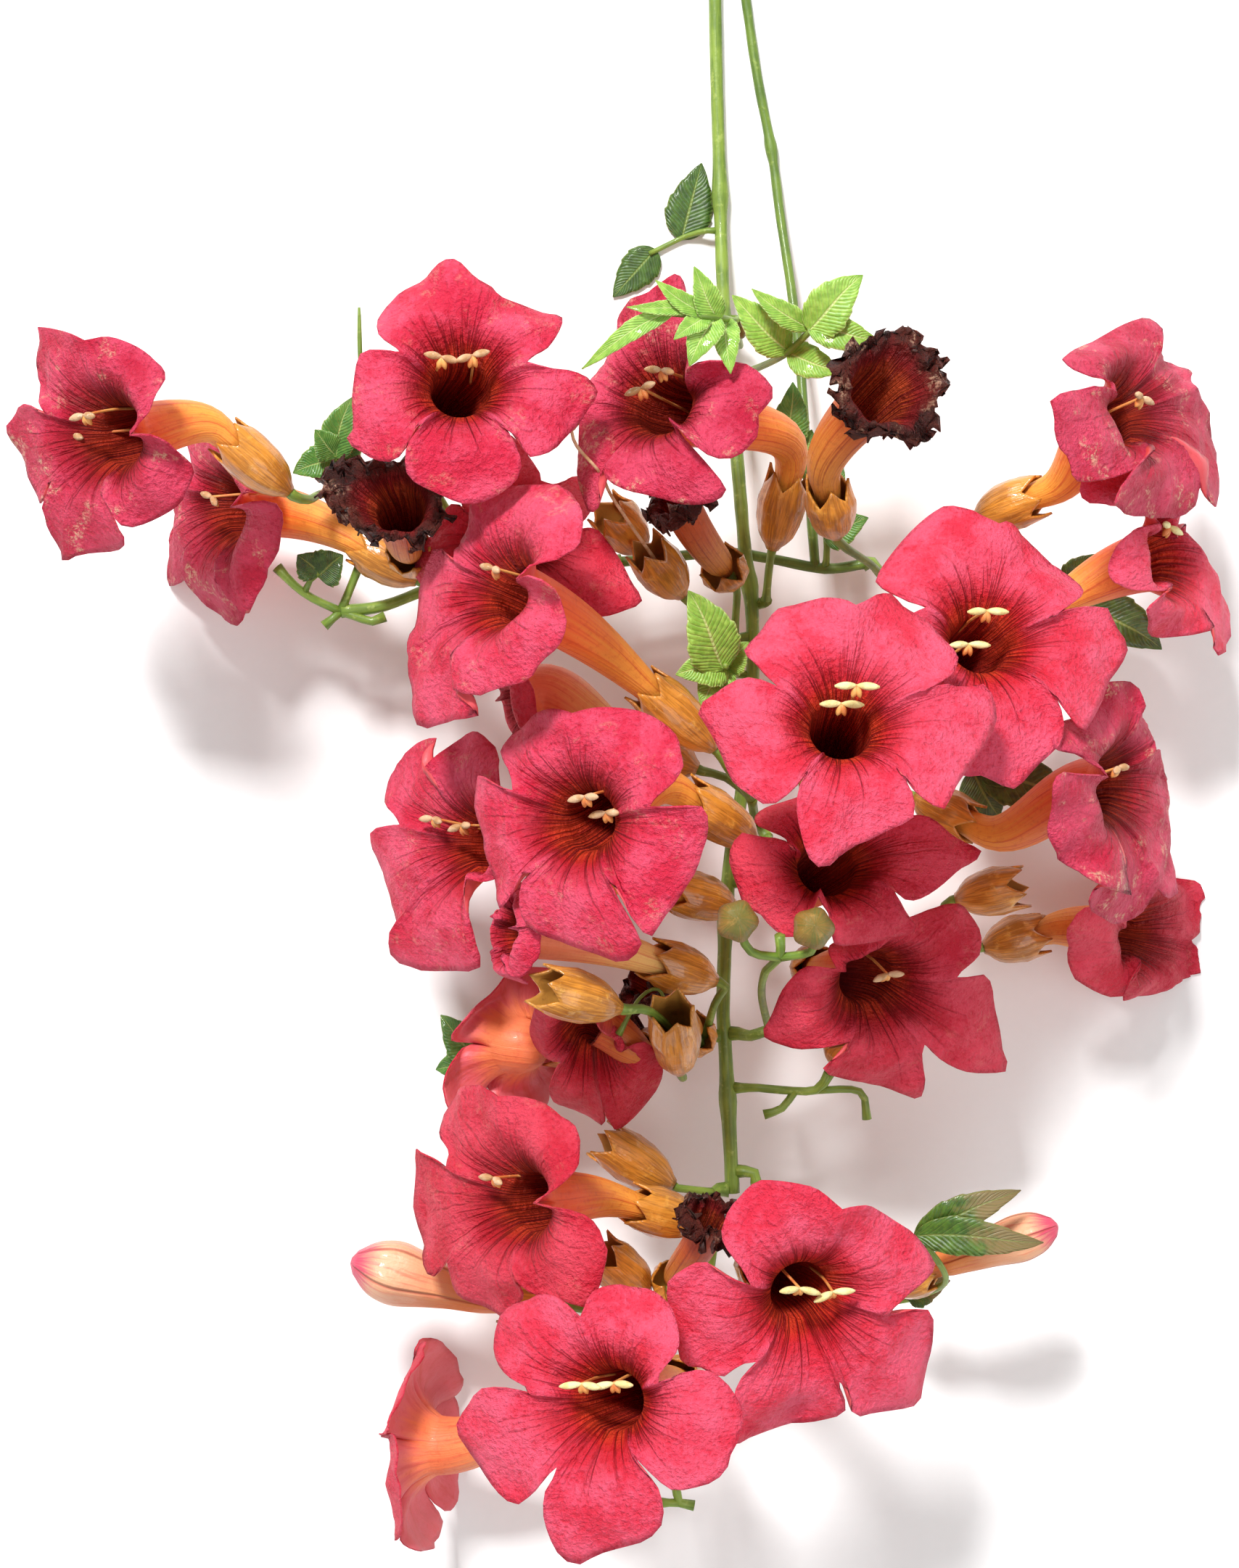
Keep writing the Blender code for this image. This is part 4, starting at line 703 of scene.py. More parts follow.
        [(1215, 1291), (1240, 1280), (1267, 1268), (1310, 1254), (1334, 1254), (1353, 1280), (1356, 1296),
         (1350, 1317), (1324, 1343)],
        [(1320, 1349), (1341, 1349), (1363, 1349), (1372, 1358), (1382, 1403), (1392, 1455), (1395, 1480),
         (1375, 1483), (1335, 1480), (1298, 1462), (1283, 1447)],
        [(1276, 1441), (1273, 1450), (1275, 1465), (1280, 1490), (1279, 1519), (1272, 1523), (1236, 1508),
         (1202, 1499), (1159, 1489), (1136, 1477), (1150, 1462), (1168, 1450)],
        [(1172, 1439), (1150, 1446), (1122, 1452), (1098, 1451), (1063, 1438), (1070, 1409), (1079, 1376),
         (1095, 1348), (1116, 1334), (1137, 1334)],
    ],
    "s": [
        [(1524, 1069), (1508, 1049), (1493, 1039), (1467, 1028), (1475, 1005), (1505, 985), (1527, 945),
         (1534, 941), (1549, 939), (1568, 942), (1571, 962)],
        [(1573, 973), (1587, 983), (1594, 998), (1591, 1027)],
        [(1592, 1035), (1602, 1033), (1609, 1049), (1622, 1077), (1628, 1108), (1626, 1140), (1625, 1187),
         (1622, 1232), (1608, 1238)],
        [(1600, 1225), (1590, 1256), (1562, 1274), (1549, 1272), (1524, 1259), (1510, 1237), (1521, 1223)],
        [(1552, 1234), (1545, 1230, 2), (1524, 1218, 3), (1502, 1203), (1476, 1178), (1465, 1149),
         (1460, 1108), (1461, 1080), (1472, 1065), (1493, 1068)],
    ],
    "t": [
        [(1545, 1270), (1548, 1240), (1562, 1226)],
        [(1590, 1220), (1615, 1213), (1640, 1213), (1653, 1217), (1655, 1240)],
        [(1652, 1285), (1650, 1334), (1643, 1344), (1634, 1352)],
        [(1626, 1358), (1620, 1366), (1603, 1372), (1566, 1378), (1557, 1382), (1560, 1364), (1567, 1345)],
        [(1571, 1328), (1563, 1346), (1556, 1368), (1550, 1377), (1524, 1369), (1499, 1350), (1493, 1331),
         (1483, 1294), (1482, 1281), (1493, 1262), (1509, 1250), (1527, 1261)],
    ],
    "u": [
        [(720, 1333), (698, 1334), (678, 1359), (650, 1385), (625, 1418), (620, 1433), (636, 1437)],
        [(654, 1438), (630, 1447), (612, 1469), (606, 1497), (615, 1530), (650, 1542)],
        [(670, 1497), (690, 1532), (720, 1538), (750, 1526)],
        [(762, 1500), (790, 1480), (800, 1450)],
        [(790, 1420), (800, 1380), (775, 1345), (757, 1334)],
    ],
    "v": [
        [(752, 1368), (762, 1360), (785, 1370)],
        [(800, 1382), (815, 1398), (845, 1421), (861, 1440)],
        [(857, 1448), (882, 1444), (899, 1453), (910, 1475), (911, 1495), (898, 1523), (870, 1548),
         (846, 1560)],
        [(831, 1522), (833, 1555), (827, 1562), (814, 1557), (780, 1540), (758, 1518), (758, 1497),
         (766, 1474)],
        [(774, 1462), (752, 1471), (738, 1464), (731, 1445), (729, 1427), (740, 1385)],
    ],
    "w": [
        [(616, 1609), (612, 1597), (600, 1574), (597, 1552), (601, 1533), (618, 1507), (634, 1498),
         (657, 1497), (672, 1503)],
        [(684, 1512), (697, 1511), (715, 1513), (733, 1520), (753, 1533), (776, 1550), (788, 1570),
         (789, 1592), (785, 1615), (764, 1639), (745, 1651)],
        [(738, 1659), (753, 1664), (778, 1668), (803, 1683), (816, 1709), (822, 1731), (816, 1765),
         (810, 1787), (801, 1803), (782, 1798), (762, 1790), (731, 1786), (713, 1765)],
        [(702, 1747), (704, 1760), (713, 1783), (699, 1801), (684, 1817), (675, 1814), (652, 1801),
         (630, 1788), (617, 1772), (614, 1756), (617, 1738)],
        [(624, 1720), (614, 1731), (598, 1749), (585, 1763), (576, 1754), (567, 1727), (563, 1693),
         (562, 1655), (565, 1615), (569, 1590), (575, 1582), (581, 1590), (598, 1601)],
    ],
    "x": [
        [(727, 1922), (722, 1913), (699, 1901), (682, 1884), (673, 1864), (674, 1842), (682, 1819),
         (699, 1802), (724, 1793), (741, 1785), (761, 1787), (781, 1798)],
        [(800, 1815), (805, 1800), (815, 1780), (843, 1772), (862, 1776), (893, 1781), (916, 1800),
         (927, 1822), (934, 1850), (927, 1870), (913, 1887), (906, 1897)],
        [(907, 1906), (919, 1904), (936, 1894), (958, 1890), (978, 1894), (998, 1912), (1012, 1935),
         (1017, 1960), (1012, 1988), (1001, 2011), (996, 2030), (978, 2045), (950, 2053), (930, 2056),
         (916, 2050), (896, 2033)],
        [(875, 2008), (879, 2022), (896, 2045), (906, 2065), (907, 2093), (899, 2112), (882, 2127),
         (843, 2138), (814, 2147), (795, 2159), (775, 2155), (761, 2138), (750, 2107), (748, 2076),
         (754, 2053), (763, 2037)],
        [(767, 2023), (758, 2028), (741, 2050), (724, 2065), (706, 2077), (690, 2070), (670, 2050),
         (654, 2028), (637, 2000), (625, 1974), (628, 1955), (642, 1935), (662, 1915), (682, 1913),
         (704, 1916)],
    ],
    "y": [
        [(1035, 1772), (1024, 1750), (1008, 1731), (1000, 1715), (1001, 1694), (1013, 1672), (1035, 1648),
         (1053, 1635), (1075, 1633), (1112, 1636), (1134, 1645), (1152, 1660)],
        [(1162, 1668), (1177, 1666), (1199, 1666), (1218, 1677), (1239, 1691), (1261, 1704), (1280, 1726),
         (1294, 1750), (1288, 1761), (1269, 1777), (1245, 1796), (1230, 1803)],
        [(1224, 1810), (1234, 1814), (1258, 1813), (1282, 1812), (1293, 1825), (1292, 1858), (1285, 1895),
         (1277, 1928), (1272, 1943), (1253, 1947), (1210, 1952), (1178, 1953), (1174, 1928), (1167, 1912)],
        [(1158, 1906), (1156, 1915), (1164, 1930), (1170, 1944), (1166, 1955), (1150, 1963), (1131, 1969),
         (1096, 1972), (1067, 1978), (1045, 1987), (1024, 1996), (1011, 1996), (1012, 1960), (1013, 1925),
         (1030, 1897)],
        [(1043, 1879), (1029, 1882), (1013, 1893), (994, 1903), (975, 1893), (948, 1890), (938, 1860),
         (930, 1833), (923, 1782), (927, 1766), (948, 1753), (972, 1743), (994, 1757), (1016, 1766)],
    ],
    "e": [
        [(452, 690), (441, 660), (460, 643), (484, 636)],
        [(500, 641), (520, 632), (560, 638), (592, 643)],
        [(600, 656), (610, 680), (613, 716), (600, 733)],
        [(590, 738), (576, 752), (562, 755), (545, 746)],
        [(525, 741), (508, 737), (492, 728), (470, 706)],
    ],
    "f": [
        [(1158, 528), (1154, 510), (1172, 482), (1192, 467)],
        [(1208, 468), (1228, 456), (1254, 457), (1280, 470)],
        [(1288, 480), (1300, 488), (1302, 530), (1294, 565)],
        [(1286, 580), (1282, 597), (1258, 615), (1225, 607)],
        [(1204, 603), (1175, 590), (1152, 570), (1152, 545)],
    ],
}

# What each open bloom has of its own: the tone inside, the tone of its back where that isn't warm, and
# its anthers as pixel, turn in degrees and depth in millimetres.
bloomLooks = {
    "a": {"tone": "magenta", "anthers": [(116, 572, 5, -1), (100, 600, 0, 5)]},
    "b": {"tone": "magenta", "anthers": [(292, 685, -20, -1)]},
    "c": {"tone": "pink", "anthers": [(609, 492, -14, -1), (651, 490, 18, -1)]},
    "d": {"tone": "magenta", "anthers": [(884, 535, 10, -1), (912, 510, -20, 0)]},
    "g": {"tone": "magenta", "anthers": [(1574, 548, 5, -1)]},
    "h": {"tone": "coral", "anthers": [(1612, 726, 0, 0)]},
    "i": {"tone": "pink", "anthers": [(680, 783, -35, -1)]},
    "j": {"tone": "rose"},
    "k": {"tone": "rose", "back": "soft"},
    "l": {"tone": "coral", "anthers": [(1181, 945, 0, -2), (1160, 970, 0, 6)]},
    "m": {"tone": "coral", "anthers": [(1360, 842, 5, -2), (1335, 888, 5, 6)]},
    "n": {"tone": "pink", "anthers": [(597, 1128, -5, -1), (636, 1138, 10, 1)]},
    "o": {"tone": "pink", "anthers": [(806, 1098, 5, -1), (835, 1120, 5, 4)]},
    "p": {"tone": "pink", "back": "soft"},
    "q": {"tone": "rose", "anthers": [(1165, 1155, 0, 2)]},
    "r": {"tone": "rose", "anthers": [(1223, 1343, 5, -1)]},
    "s": {"tone": "magenta", "anthers": [(1542, 1058, 10, -1)]},
    "t": {"tone": "rose"},
    "u": {"tone": "rose", "back": "back"},
    "v": {"tone": "rose", "back": "deep"},
    "w": {"tone": "rose", "anthers": [(680, 1624, -10, -1)]},
    "x": {"tone": "coral", "anthers": [(802, 1908, 0, -1), (846, 1907, 5, 2)]},
    "y": {"tone": "coral", "anthers": [(1102, 1776, -10, -1), (1148, 1781, 10, 0)]},
    "z": {"tone": "rose", "back": "back"},
}

# Buds that are still closed: seat, teeth, tip, and the radii in millimetres from inside the calyx to the tip.
buds = {
    "left": {
        "seat": (770, 1800, 38), "teeth": (690, 1793, 38), "tip": (484, 1738, 40),
        "radii": (2.1, 3.8, 5.6, 8.6, 6.5, 1.5),
    },
    "right": {
        "seat": (1225, 1772, 38), "teeth": (1290, 1745, 42), "tip": (1458, 1690, 52),
        "radii": (2.1, 3.6, 4.6, 6.2, 5.0, 1.4),
    },
}

# The stems' own routes. The light one lies on the surface at its cut end and then rises under the
# blooms; the dark one ends in the cross branch.
lightStem = [
    (985, -45, 1.8), (988, 110, 1.8), (992, 240, 1.95), (994, 320, 3.6), (997, 405, 9), (1003, 490, 17),
    (1015, 620, 25), (1027, 760, 29), (1037, 850, 31), (1035, 1000, 32), (1020, 1110, 32),
    (1005, 1200, 32), (997, 1374, 32), (1000, 1450, 32), (1010, 1645, 32),
]
darkStem = [
    (1022, -45, 1.4), (1043, 100, 1.4), (1064, 210, 1.6), (1076, 300, 4), (1091, 400, 9),
    (1103, 500, 14), (1110, 600, 18), (1119, 720, 21), (1124, 782, 22),
]
crossBranch = [
    (853, 775, 25), (920, 768, 23), (1000, 762, 22), (1060, 770, 22), (1137, 784, 22), (1195, 777, 25),
]

# Each truss: where it starts (beside the light stem at a pixel row, or at a branch's end), its branches as
# a radius and a route, and the calyces with the pedicel that carries each. A calyx that holds a bloom or
# bud takes its seat and teeth from it.
trusses = {
    "left": {
        "from": ("end", (920, 768, 23), (853, 775, 25)),
        "branches": [
            (1.4, [(800, 782, 27), (700, 792, 28), (610, 806, 31), (530, 835, 34), (470, 843, 36)]),
            (1.1, [(470, 843, 36), (431, 825, 37), (406, 807, 38), (382, 782, 38)]),
            (1.1, [(470, 843, 36), (499, 771, 38)]),
            (1.1, [(470, 843, 36), (513, 857, 36), (531, 850, 36)]),
            (1.1, [(470, 843, 36), (447, 863, 36)]),
        ],
        "calyces": [
            ("a", [(610, 806, 31), (540, 760, 28), (459, 685, 46), (425, 689, 60)]),
            ("b", [(610, 806, 31), (592, 806, 40)]),
            ("e", [(610, 806, 31), (585, 788, 48)]),
            ("c", [(700, 792, 28), (625, 715, 32), (592, 655, 40)]),
            ("j", [(800, 782, 27), (801, 791, 30)]),
        ],
    },
    "top": {
        "from": ("stem", 880, -1),
        "branches": [(1.2, [(1012, 878, 34), (985, 868, 40), (965, 845, 46)])],
        "calyces": [
            (((939, 820, 52), (888, 752, 62)), [(965, 845, 46)]),
            (((885, 757, 46), (833, 700, 56)), [(965, 845, 46), (925, 800, 42)]),
            ("dd", [(1012, 878, 34), (1016, 820, 37)]),
        ],
    },
    "upper": {
        "from": ("stem", 832, 1),
        "branches": [(1.2, [(1056, 828, 34)])],
        "calyces": [("d", [(1056, 828, 34), (1060, 785, 38)])],
    },
    "right": {
        "from": ("end", (1137, 784, 22), (1195, 777, 25)),
        "branches": [(1.4, [(1222, 800, 28), (1260, 822, 31), (1295, 835, 34)])],
        "calyces": [
            ("f", [(1222, 800, 28), (1200, 778, 42), (1168, 757, 54)]),
            ("g", [(1295, 835, 34), (1318, 780, 38), (1335, 735, 43)]),
            ("h", [(1295, 835, 34), (1340, 875, 40), (1362, 884, 44)]),
            ("m", [(1295, 835, 34), (1300, 910, 35), (1292, 958, 42)]),
        ],
    },
    "middle_left": {
        "from": ("stem", 1140, 1),
        "branches": [
            (1.2, [(1042, 1138, 36), (1058, 1155, 42)]),
            (1.2, [(1042, 1138, 36), (1036, 1100, 50)]),
        ],
        "calyces": [
            ("o", [(1058, 1155, 42), (1064, 1168, 52)]),
            ("i", [(1036, 1100, 50), (1008, 1067, 64)]),
            ("k", [(1036, 1100, 50), (1000, 1072, 57)]),
        ],
    },
    "middle_right": {
        "from": ("stem", 1215, 1),
        "branches": [(1.3, [(1042, 1214, 36), (1078, 1185, 42), (1110, 1135, 50)])],
        "calyces": [
            ("l", [(1110, 1135, 50), (1126, 1100, 57)]),
            ("q", [(1042, 1214, 36), (1064, 1245, 36), (1078, 1262, 39)]),
            ("n", [(1042, 1214, 36), (1046, 1245, 41), (1028, 1254, 44)]),
            ("s", [(1110, 1135, 50), (1180, 1104, 46), (1235, 1092, 44)]),
        ],
    },
    "low_left": {
        "from": ("stem", 1428, -1),
        "branches": [(1.3, [(972, 1430, 36), (930, 1452, 37), (890, 1462, 37)])],
        "calyces": [
            ("p", [(972, 1430, 36), (985, 1385, 50), (1000, 1360, 57)]),
            ("ee", [(972, 1430, 36)]),
            ("u", [(890, 1462, 37)]),
            ("v", [(890, 1462, 37)]),
            (((853, 1390, 87), (742, 1360, 98)), [(890, 1462, 37), (928, 1430, 60), (895, 1394, 82)]),
            (((937, 1476, 58), (925, 1388, 82)), [(930, 1452, 37), (942, 1486, 50)]),
        ],
    },
    "low_right": {
        "from": ("stem", 1425, 1),
        "branches": [
            (1.3, [(1035, 1428, 36), (1060, 1420, 38), (1120, 1402, 32), (1200, 1372, 24), (1290, 1330, 22)]),
            (1.0, [(1060, 1420, 38), (1050, 1372, 66), (1056, 1338, 86), (1075, 1320, 91), (1075, 1290, 95)]),
            (1.0, [(1075, 1320, 91), (1035, 1312, 96), (1016, 1275, 101)]),
            (1.0, [(1075, 1320, 91), (1118, 1312, 95), (1121, 1284, 101)]),
        ],
        "rounds": [(1016, 1270, 103), (1121, 1280, 103)],
        "calyces": [
            ("r", [(1120, 1402, 32), (1108, 1345, 33)]),
            ("t", [(1290, 1330, 22), (1335, 1312, 22)]),
            (((1319, 1240, 38), (1412, 1220, 42)), [(1290, 1330, 22), (1296, 1262, 34)]),
        ],
    },
    "end_left": {
        "from": ("stem", 1640, -1),
        "branches": [
            (1.4, [(985, 1644, 34), (984, 1700, 37), (975, 1770, 38), (965, 1840, 40), (955, 1885, 40)]),
            (1.2, [(955, 1885, 40), (910, 1945, 42), (870, 1962, 43)]),
            (1.1, [(910, 1945, 42), (925, 2010, 40), (937, 2072, 38), (957, 2076, 38)]),
            (1.1, [(937, 2072, 38), (909, 2072, 38)]),
            (1.1, [(975, 1770, 38), (905, 1812, 36), (840, 1812, 36)]),
        ],
        "calyces": [
            (((927, 1634, 40), (826, 1570, 41)), [(985, 1644, 34), (950, 1640, 38)]),
            ("w", [(984, 1700, 37), (978, 1696, 46)]),
            ("cc", [(975, 1770, 38), (940, 1788, 39)]),
            (((891, 1781, 44), (824, 1724, 54)), [(905, 1812, 36)]),
            ("x", [(955, 1885, 40), (952, 1900, 44)]),
            ("z", [(870, 1962, 43)]),
            ("left", [(840, 1812, 36), (790, 1803, 38)]),
        ],
    },
    "end_right": {
        "from": ("stem", 1615, 1),
        "branches": [
            (1.3, [(1040, 1618, 33), (1046, 1680, 32), (1050, 1745, 31), (1120, 1800, 30), (1180, 1795, 33)]),
        ],
        "calyces": [
            ("y", [(1050, 1745, 31), (1042, 1742, 34)]),
            ("right", [(1180, 1795, 33), (1208, 1780, 36)]),
        ],
    },
    "twig": {
        "from": ("stem", 1500, 1),
        "branches": [
            (1.1, [(1046, 1500, 34), (1078, 1503, 34), (1125, 1503, 34), (1143, 1480, 36)]),
            (1.0, [(1096, 1504, 34), (1078, 1528, 34), (1053, 1537, 34)]),
            (1.0, [(1125, 1503, 34), (1185, 1505, 33), (1195, 1543, 32)]),
        ],
        "calyces": [
            (((1152, 1470, 38), (1176, 1440, 40)), [(1143, 1480, 36)]),
        ],
    },
}

# Compound leaves: where the stalk starts (beside the light stem at a pixel row, or near a point), its
# stalks as a radius and a route, and the leaflets as base, tip and width in millimetres.
leaves = {
    "floor": {
        "from": ("stem", 318, -1),
        "stalks": [(0.7, [(945, 326, 0.9), (895, 350, 0.8)])],
        "leaflets": [((940, 328, 0.35), (968, 222, 0.35), 11), ((902, 346, 0.35), (843, 412, 0.35), 9)],
        "flat": True,
    },
    "top_left": {
        "from": ("stem", 440, 1),
        "stalks": [(0.8, [(1016, 440, 40), (1012, 442, 88), (985, 437, 103), (925, 432, 104)])],
        "leaflets": [
            ((928, 432, 104), (796, 505, 102), 4.2), ((954, 430, 104), (862, 419, 107), 3.4),
            ((968, 434, 104), (902, 384, 108), 4.2), ((990, 438, 102), (954, 367, 109), 6.2),
            ((972, 434, 103), (929, 471, 107), 4.6), ((985, 438, 102), (950, 507, 105), 6.8),
            ((1003, 442, 98), (1005, 517, 102), 5.8),
        ],
    },
    "top_right": {
        "from": ("stem", 512, 1),
        "stalks": [(0.9, [(1040, 509, 38), (1083, 488, 58), (1119, 454, 66)])],
        "leaflets": [
            ((1113, 452, 66), (1194, 380, 70), 10.5), ((1112, 454, 65), (1035, 396, 69), 5.5),
            ((1086, 482, 58), (1006, 408, 64), 9), ((1117, 456, 66), (1215, 466, 68), 8),
            ((1088, 490, 58), (1165, 512, 62), 7.5),
        ],
    },
    "left": {
        "from": ("near", (459, 685, 46)),
        "stalks": [(0.8, [(458, 665, 50), (463, 626, 60)])],
        "leaflets": [
            ((463, 628, 60), (485, 545, 64), 8), ((463, 626, 60), (431, 592, 64), 7),
            ((463, 630, 58), (402, 655, 60), 8), ((464, 632, 57), (505, 600, 60), 7),
        ],
    },
    "junction": {
        "from": ("near", (420, 816, 37.5)),
        "stalks": [(0.7, [(428, 800, 40), (440, 790, 41)])],
        "leaflets": [((438, 790, 41), (409, 762, 42), 8), ((440, 791, 41), (476, 765, 42), 9)],
    },
    "behind": {
        "from": ("near", (1137, 784, 22)),
        "stalks": [(0.8, [(1140, 755, 26), (1130, 690, 32), (1085, 625, 38)])],
        "leaflets": [
            ((1085, 625, 38), (1090, 524, 42), 9), ((1100, 648, 37), (1120, 590, 40), 8),
            ((1130, 690, 32), (1165, 636, 36), 8), ((1138, 740, 28), (1200, 715, 32), 8),
        ],
    },
    "centre": {
        "from": ("stem", 930, -1),
        "stalks": [(0.8, [(1008, 928, 45), (1000, 918, 66)])],
        "leaflets": [
            ((1000, 918, 64), (945, 815, 72), 12), ((1000, 919, 62), (930, 930, 68), 9),
            ((1000, 920, 60), (962, 975, 64), 9), ((1001, 918, 60), (1035, 885, 64), 7),
        ],
    },
    "right": {
        "from": ("near", (1180, 1104, 46)),
        "stalks": [(0.8, [(1186, 1085, 50), (1230, 1060, 46), (1330, 1060, 34), (1350, 1066, 32)])],
        "leaflets": [
            ((1345, 1064, 32), (1440, 1035, 34), 11), ((1350, 1067, 32), (1490, 1090, 34), 13),
            ((1340, 1064, 32), (1380, 1130, 30), 11),
        ],
    },
    "far_right": {
        "from": ("near", (1318, 780, 38)),
        "stalks": [(0.8, [(1338, 790, 34), (1440, 800, 22), (1500, 830, 20)])],
        "leaflets": [((1500, 830, 20), (1602, 900, 22), 12), ((1470, 812, 21), (1516, 762, 24), 8)],
    },
    "lower": {
        "from": ("near", (866, 1452, 36)),
        "stalks": [(0.8, [(850, 1475, 30), (760, 1480, 18), (660, 1460, 14)])],
        "leaflets": [((665, 1461, 14), (603, 1400, 14), 9), ((670, 1462, 14), (598, 1478, 12), 9)],
    },
    "bud": {
        "from": ("near", (1120, 1800, 30)),
        "stalks": [
            (0.8, [(1140, 1822, 27), (1210, 1800, 25), (1262, 1790, 26)]),
            (0.8, [(1262, 1790, 26), (1303, 1768, 48), (1290, 1735, 57), (1264, 1708, 60)]),
        ],
        "leaflets": [
            ((1250, 1780, 30), (1312, 1768, 36), 8), ((1262, 1706, 60), (1410, 1640, 63), 8.5),
            ((1264, 1708, 61), (1442, 1708, 64), 8.5),
        ],
    },
}

# Each leaf's tone.
leafLooks = {"floor": "deep", "top_left": "bright", "top_right": "bright", "left": "middle",
             "junction": "deep", "behind": "middle", "centre": "bright", "right": "deep",
             "far_right": "deep", "lower": "middle", "bud": "aged"}


def circle(angle, first, second):
    return np.cos(angle)[:, None] * first + np.sin(angle)[:, None] * second


def calyxFrame(seat, teeth):
    base = place(*seat)
    reach = place(*teeth) - base
    return base, unit(reach), np.linalg.norm(reach)


def limbFrame(bloom):
    # The mouth's middle, the way it faces, and two directions across it.
    facing = unit(bloom["facing"])
    first = unit(np.array((1.0, 0, 0)) - facing * facing[0])
    return place(*bloom["mouth"]), facing, first, np.cross(facing, first)


def tubeFrame(bloom):
    # The calyx's seat and direction, where the tube starts to bend, its throat, and the bloom's size.
    base, axis, length = calyxFrame(bloom["seat"], bloom["teeth"])
    size = bloom.get("size", 1)
    start = base + axis * (length + petal["past"] * mm)
    throat = place(*bloom["mouth"]) - unit(bloom["facing"]) * petal["throatDepth"] * mm * size
    return base, axis, start, throat, size


# Here and in the pieces below, lengths are in millimetres and the rest are shares, exponents or counts.
petal = {"lobes": 5, "fan": 1.55, "point": 0.2, "rise": 0.62, "notch": 0.62, "apart": 0.35, "back": 4,
         "steps": 22, "tubeRows": 14, "limbRows": 22, "thickness": 0.45, "throatDepth": 9, "mouth": 12.5,
         "lip": 0.7, "start": 2.1, "neck": 3.7, "squeeze": 0.92, "throat": 7.9, "swell": 0.1, "inside": 5.2,
         "past": 1.5, "overrun": 2, "curl": 3.2, "cup": 1.4, "overlap": 0.9, "belly": 1.6, "fold": 0.35,
         "folds": 4, "clear": 2}
# The levels of neck, bend and throat, where a petal's start is at 0 and its margin at 1.
petalLevels = {"neck": 0.05, "tube": 0.08, "throat": 0.5}
# The limb's unevenness in millimetres, its wavelengths, and the level from which each grows.
unevenness = {"wave": 0.8, "waveLength": 11, "waveFrom": 0.55, "waveGrowth": 2.4, "small": 0.25,
              "smallLength": 4, "crinkle": 0.09, "crinkleLength": 2.6, "crinkleFrom": 0.58,
              "crinkleGrowth": 6, "crumpleLength": 5, "crumpleFine": 2.2, "crumpleFrom": 0.66,
              "crumpleGrowth": 3}


def readMargin(lobes, middle, facing, back):
    # A spline through each lobe's own pixels, from notch to notch, cut into equal steps and laid on the
    # limb's plane; the lobe's middle falls back by sin squared, and a third number lifts a point.
    edges = []
    for i, spots in enumerate(lobes):
        path = np.array([(*spot, 0)[:3] for spot in [*spots, lobes[(i + 1) % len(lobes)][0]]], float)
        path = smoothPath(path, 2.0)
        travelled = np.append(0, np.cumsum(np.linalg.norm(np.diff(path[:, :2], axis=0), axis=1)))
        share = np.arange(petal["steps"]) / petal["steps"]
        u, v, lift = (np.interp(share * travelled[-1], travelled, path[:, k]) for k in range(3))
        fall = back * np.sin(math.pi * share) ** 2
        edges.append(placeOnPlane(u, v, middle, facing, fall - lift * mm))
    return np.vstack(edges)


def evenMargin(bloom, middle, facing, first, second, back):
    # Lobes evenly spaced. The edge of one between its notches, with s the sine and c the cosine of a half
    # turn: centre + side s (1 + fan c) + reach ((1 - point) c ** rise + point (1 - |s|)).
    lobes, steps = petal["lobes"], petal["steps"]
    reach = bloom["reach"] * mm
    turns = np.radians(bloom["roll"] - 360 / lobes * np.arange(lobes))
    tips = middle + circle(turns, first, second) * reach - facing * back
    notches = middle + circle(turns - math.pi / lobes, first, second) * reach * petal["notch"]
    lobe = np.repeat(np.arange(lobes), steps)
    turn = math.pi * (np.tile(np.arange(steps) / steps, lobes) - 0.5)
    sine, cosine = np.sin(turn)[:, None], np.cos(turn)[:, None]
    before, after = notches[lobe - 1], notches[lobe]
    centre = (before + after) / 2
    rise = (1 - petal["point"]) * np.maximum(cosine, 0) ** petal["rise"] + petal["point"] * (1 - np.abs(sine))
    edge = centre + (after - before) / 2 * sine * (1 + petal["fan"] * cosine) + (tips[lobe] - centre) * rise
    return edge, notches


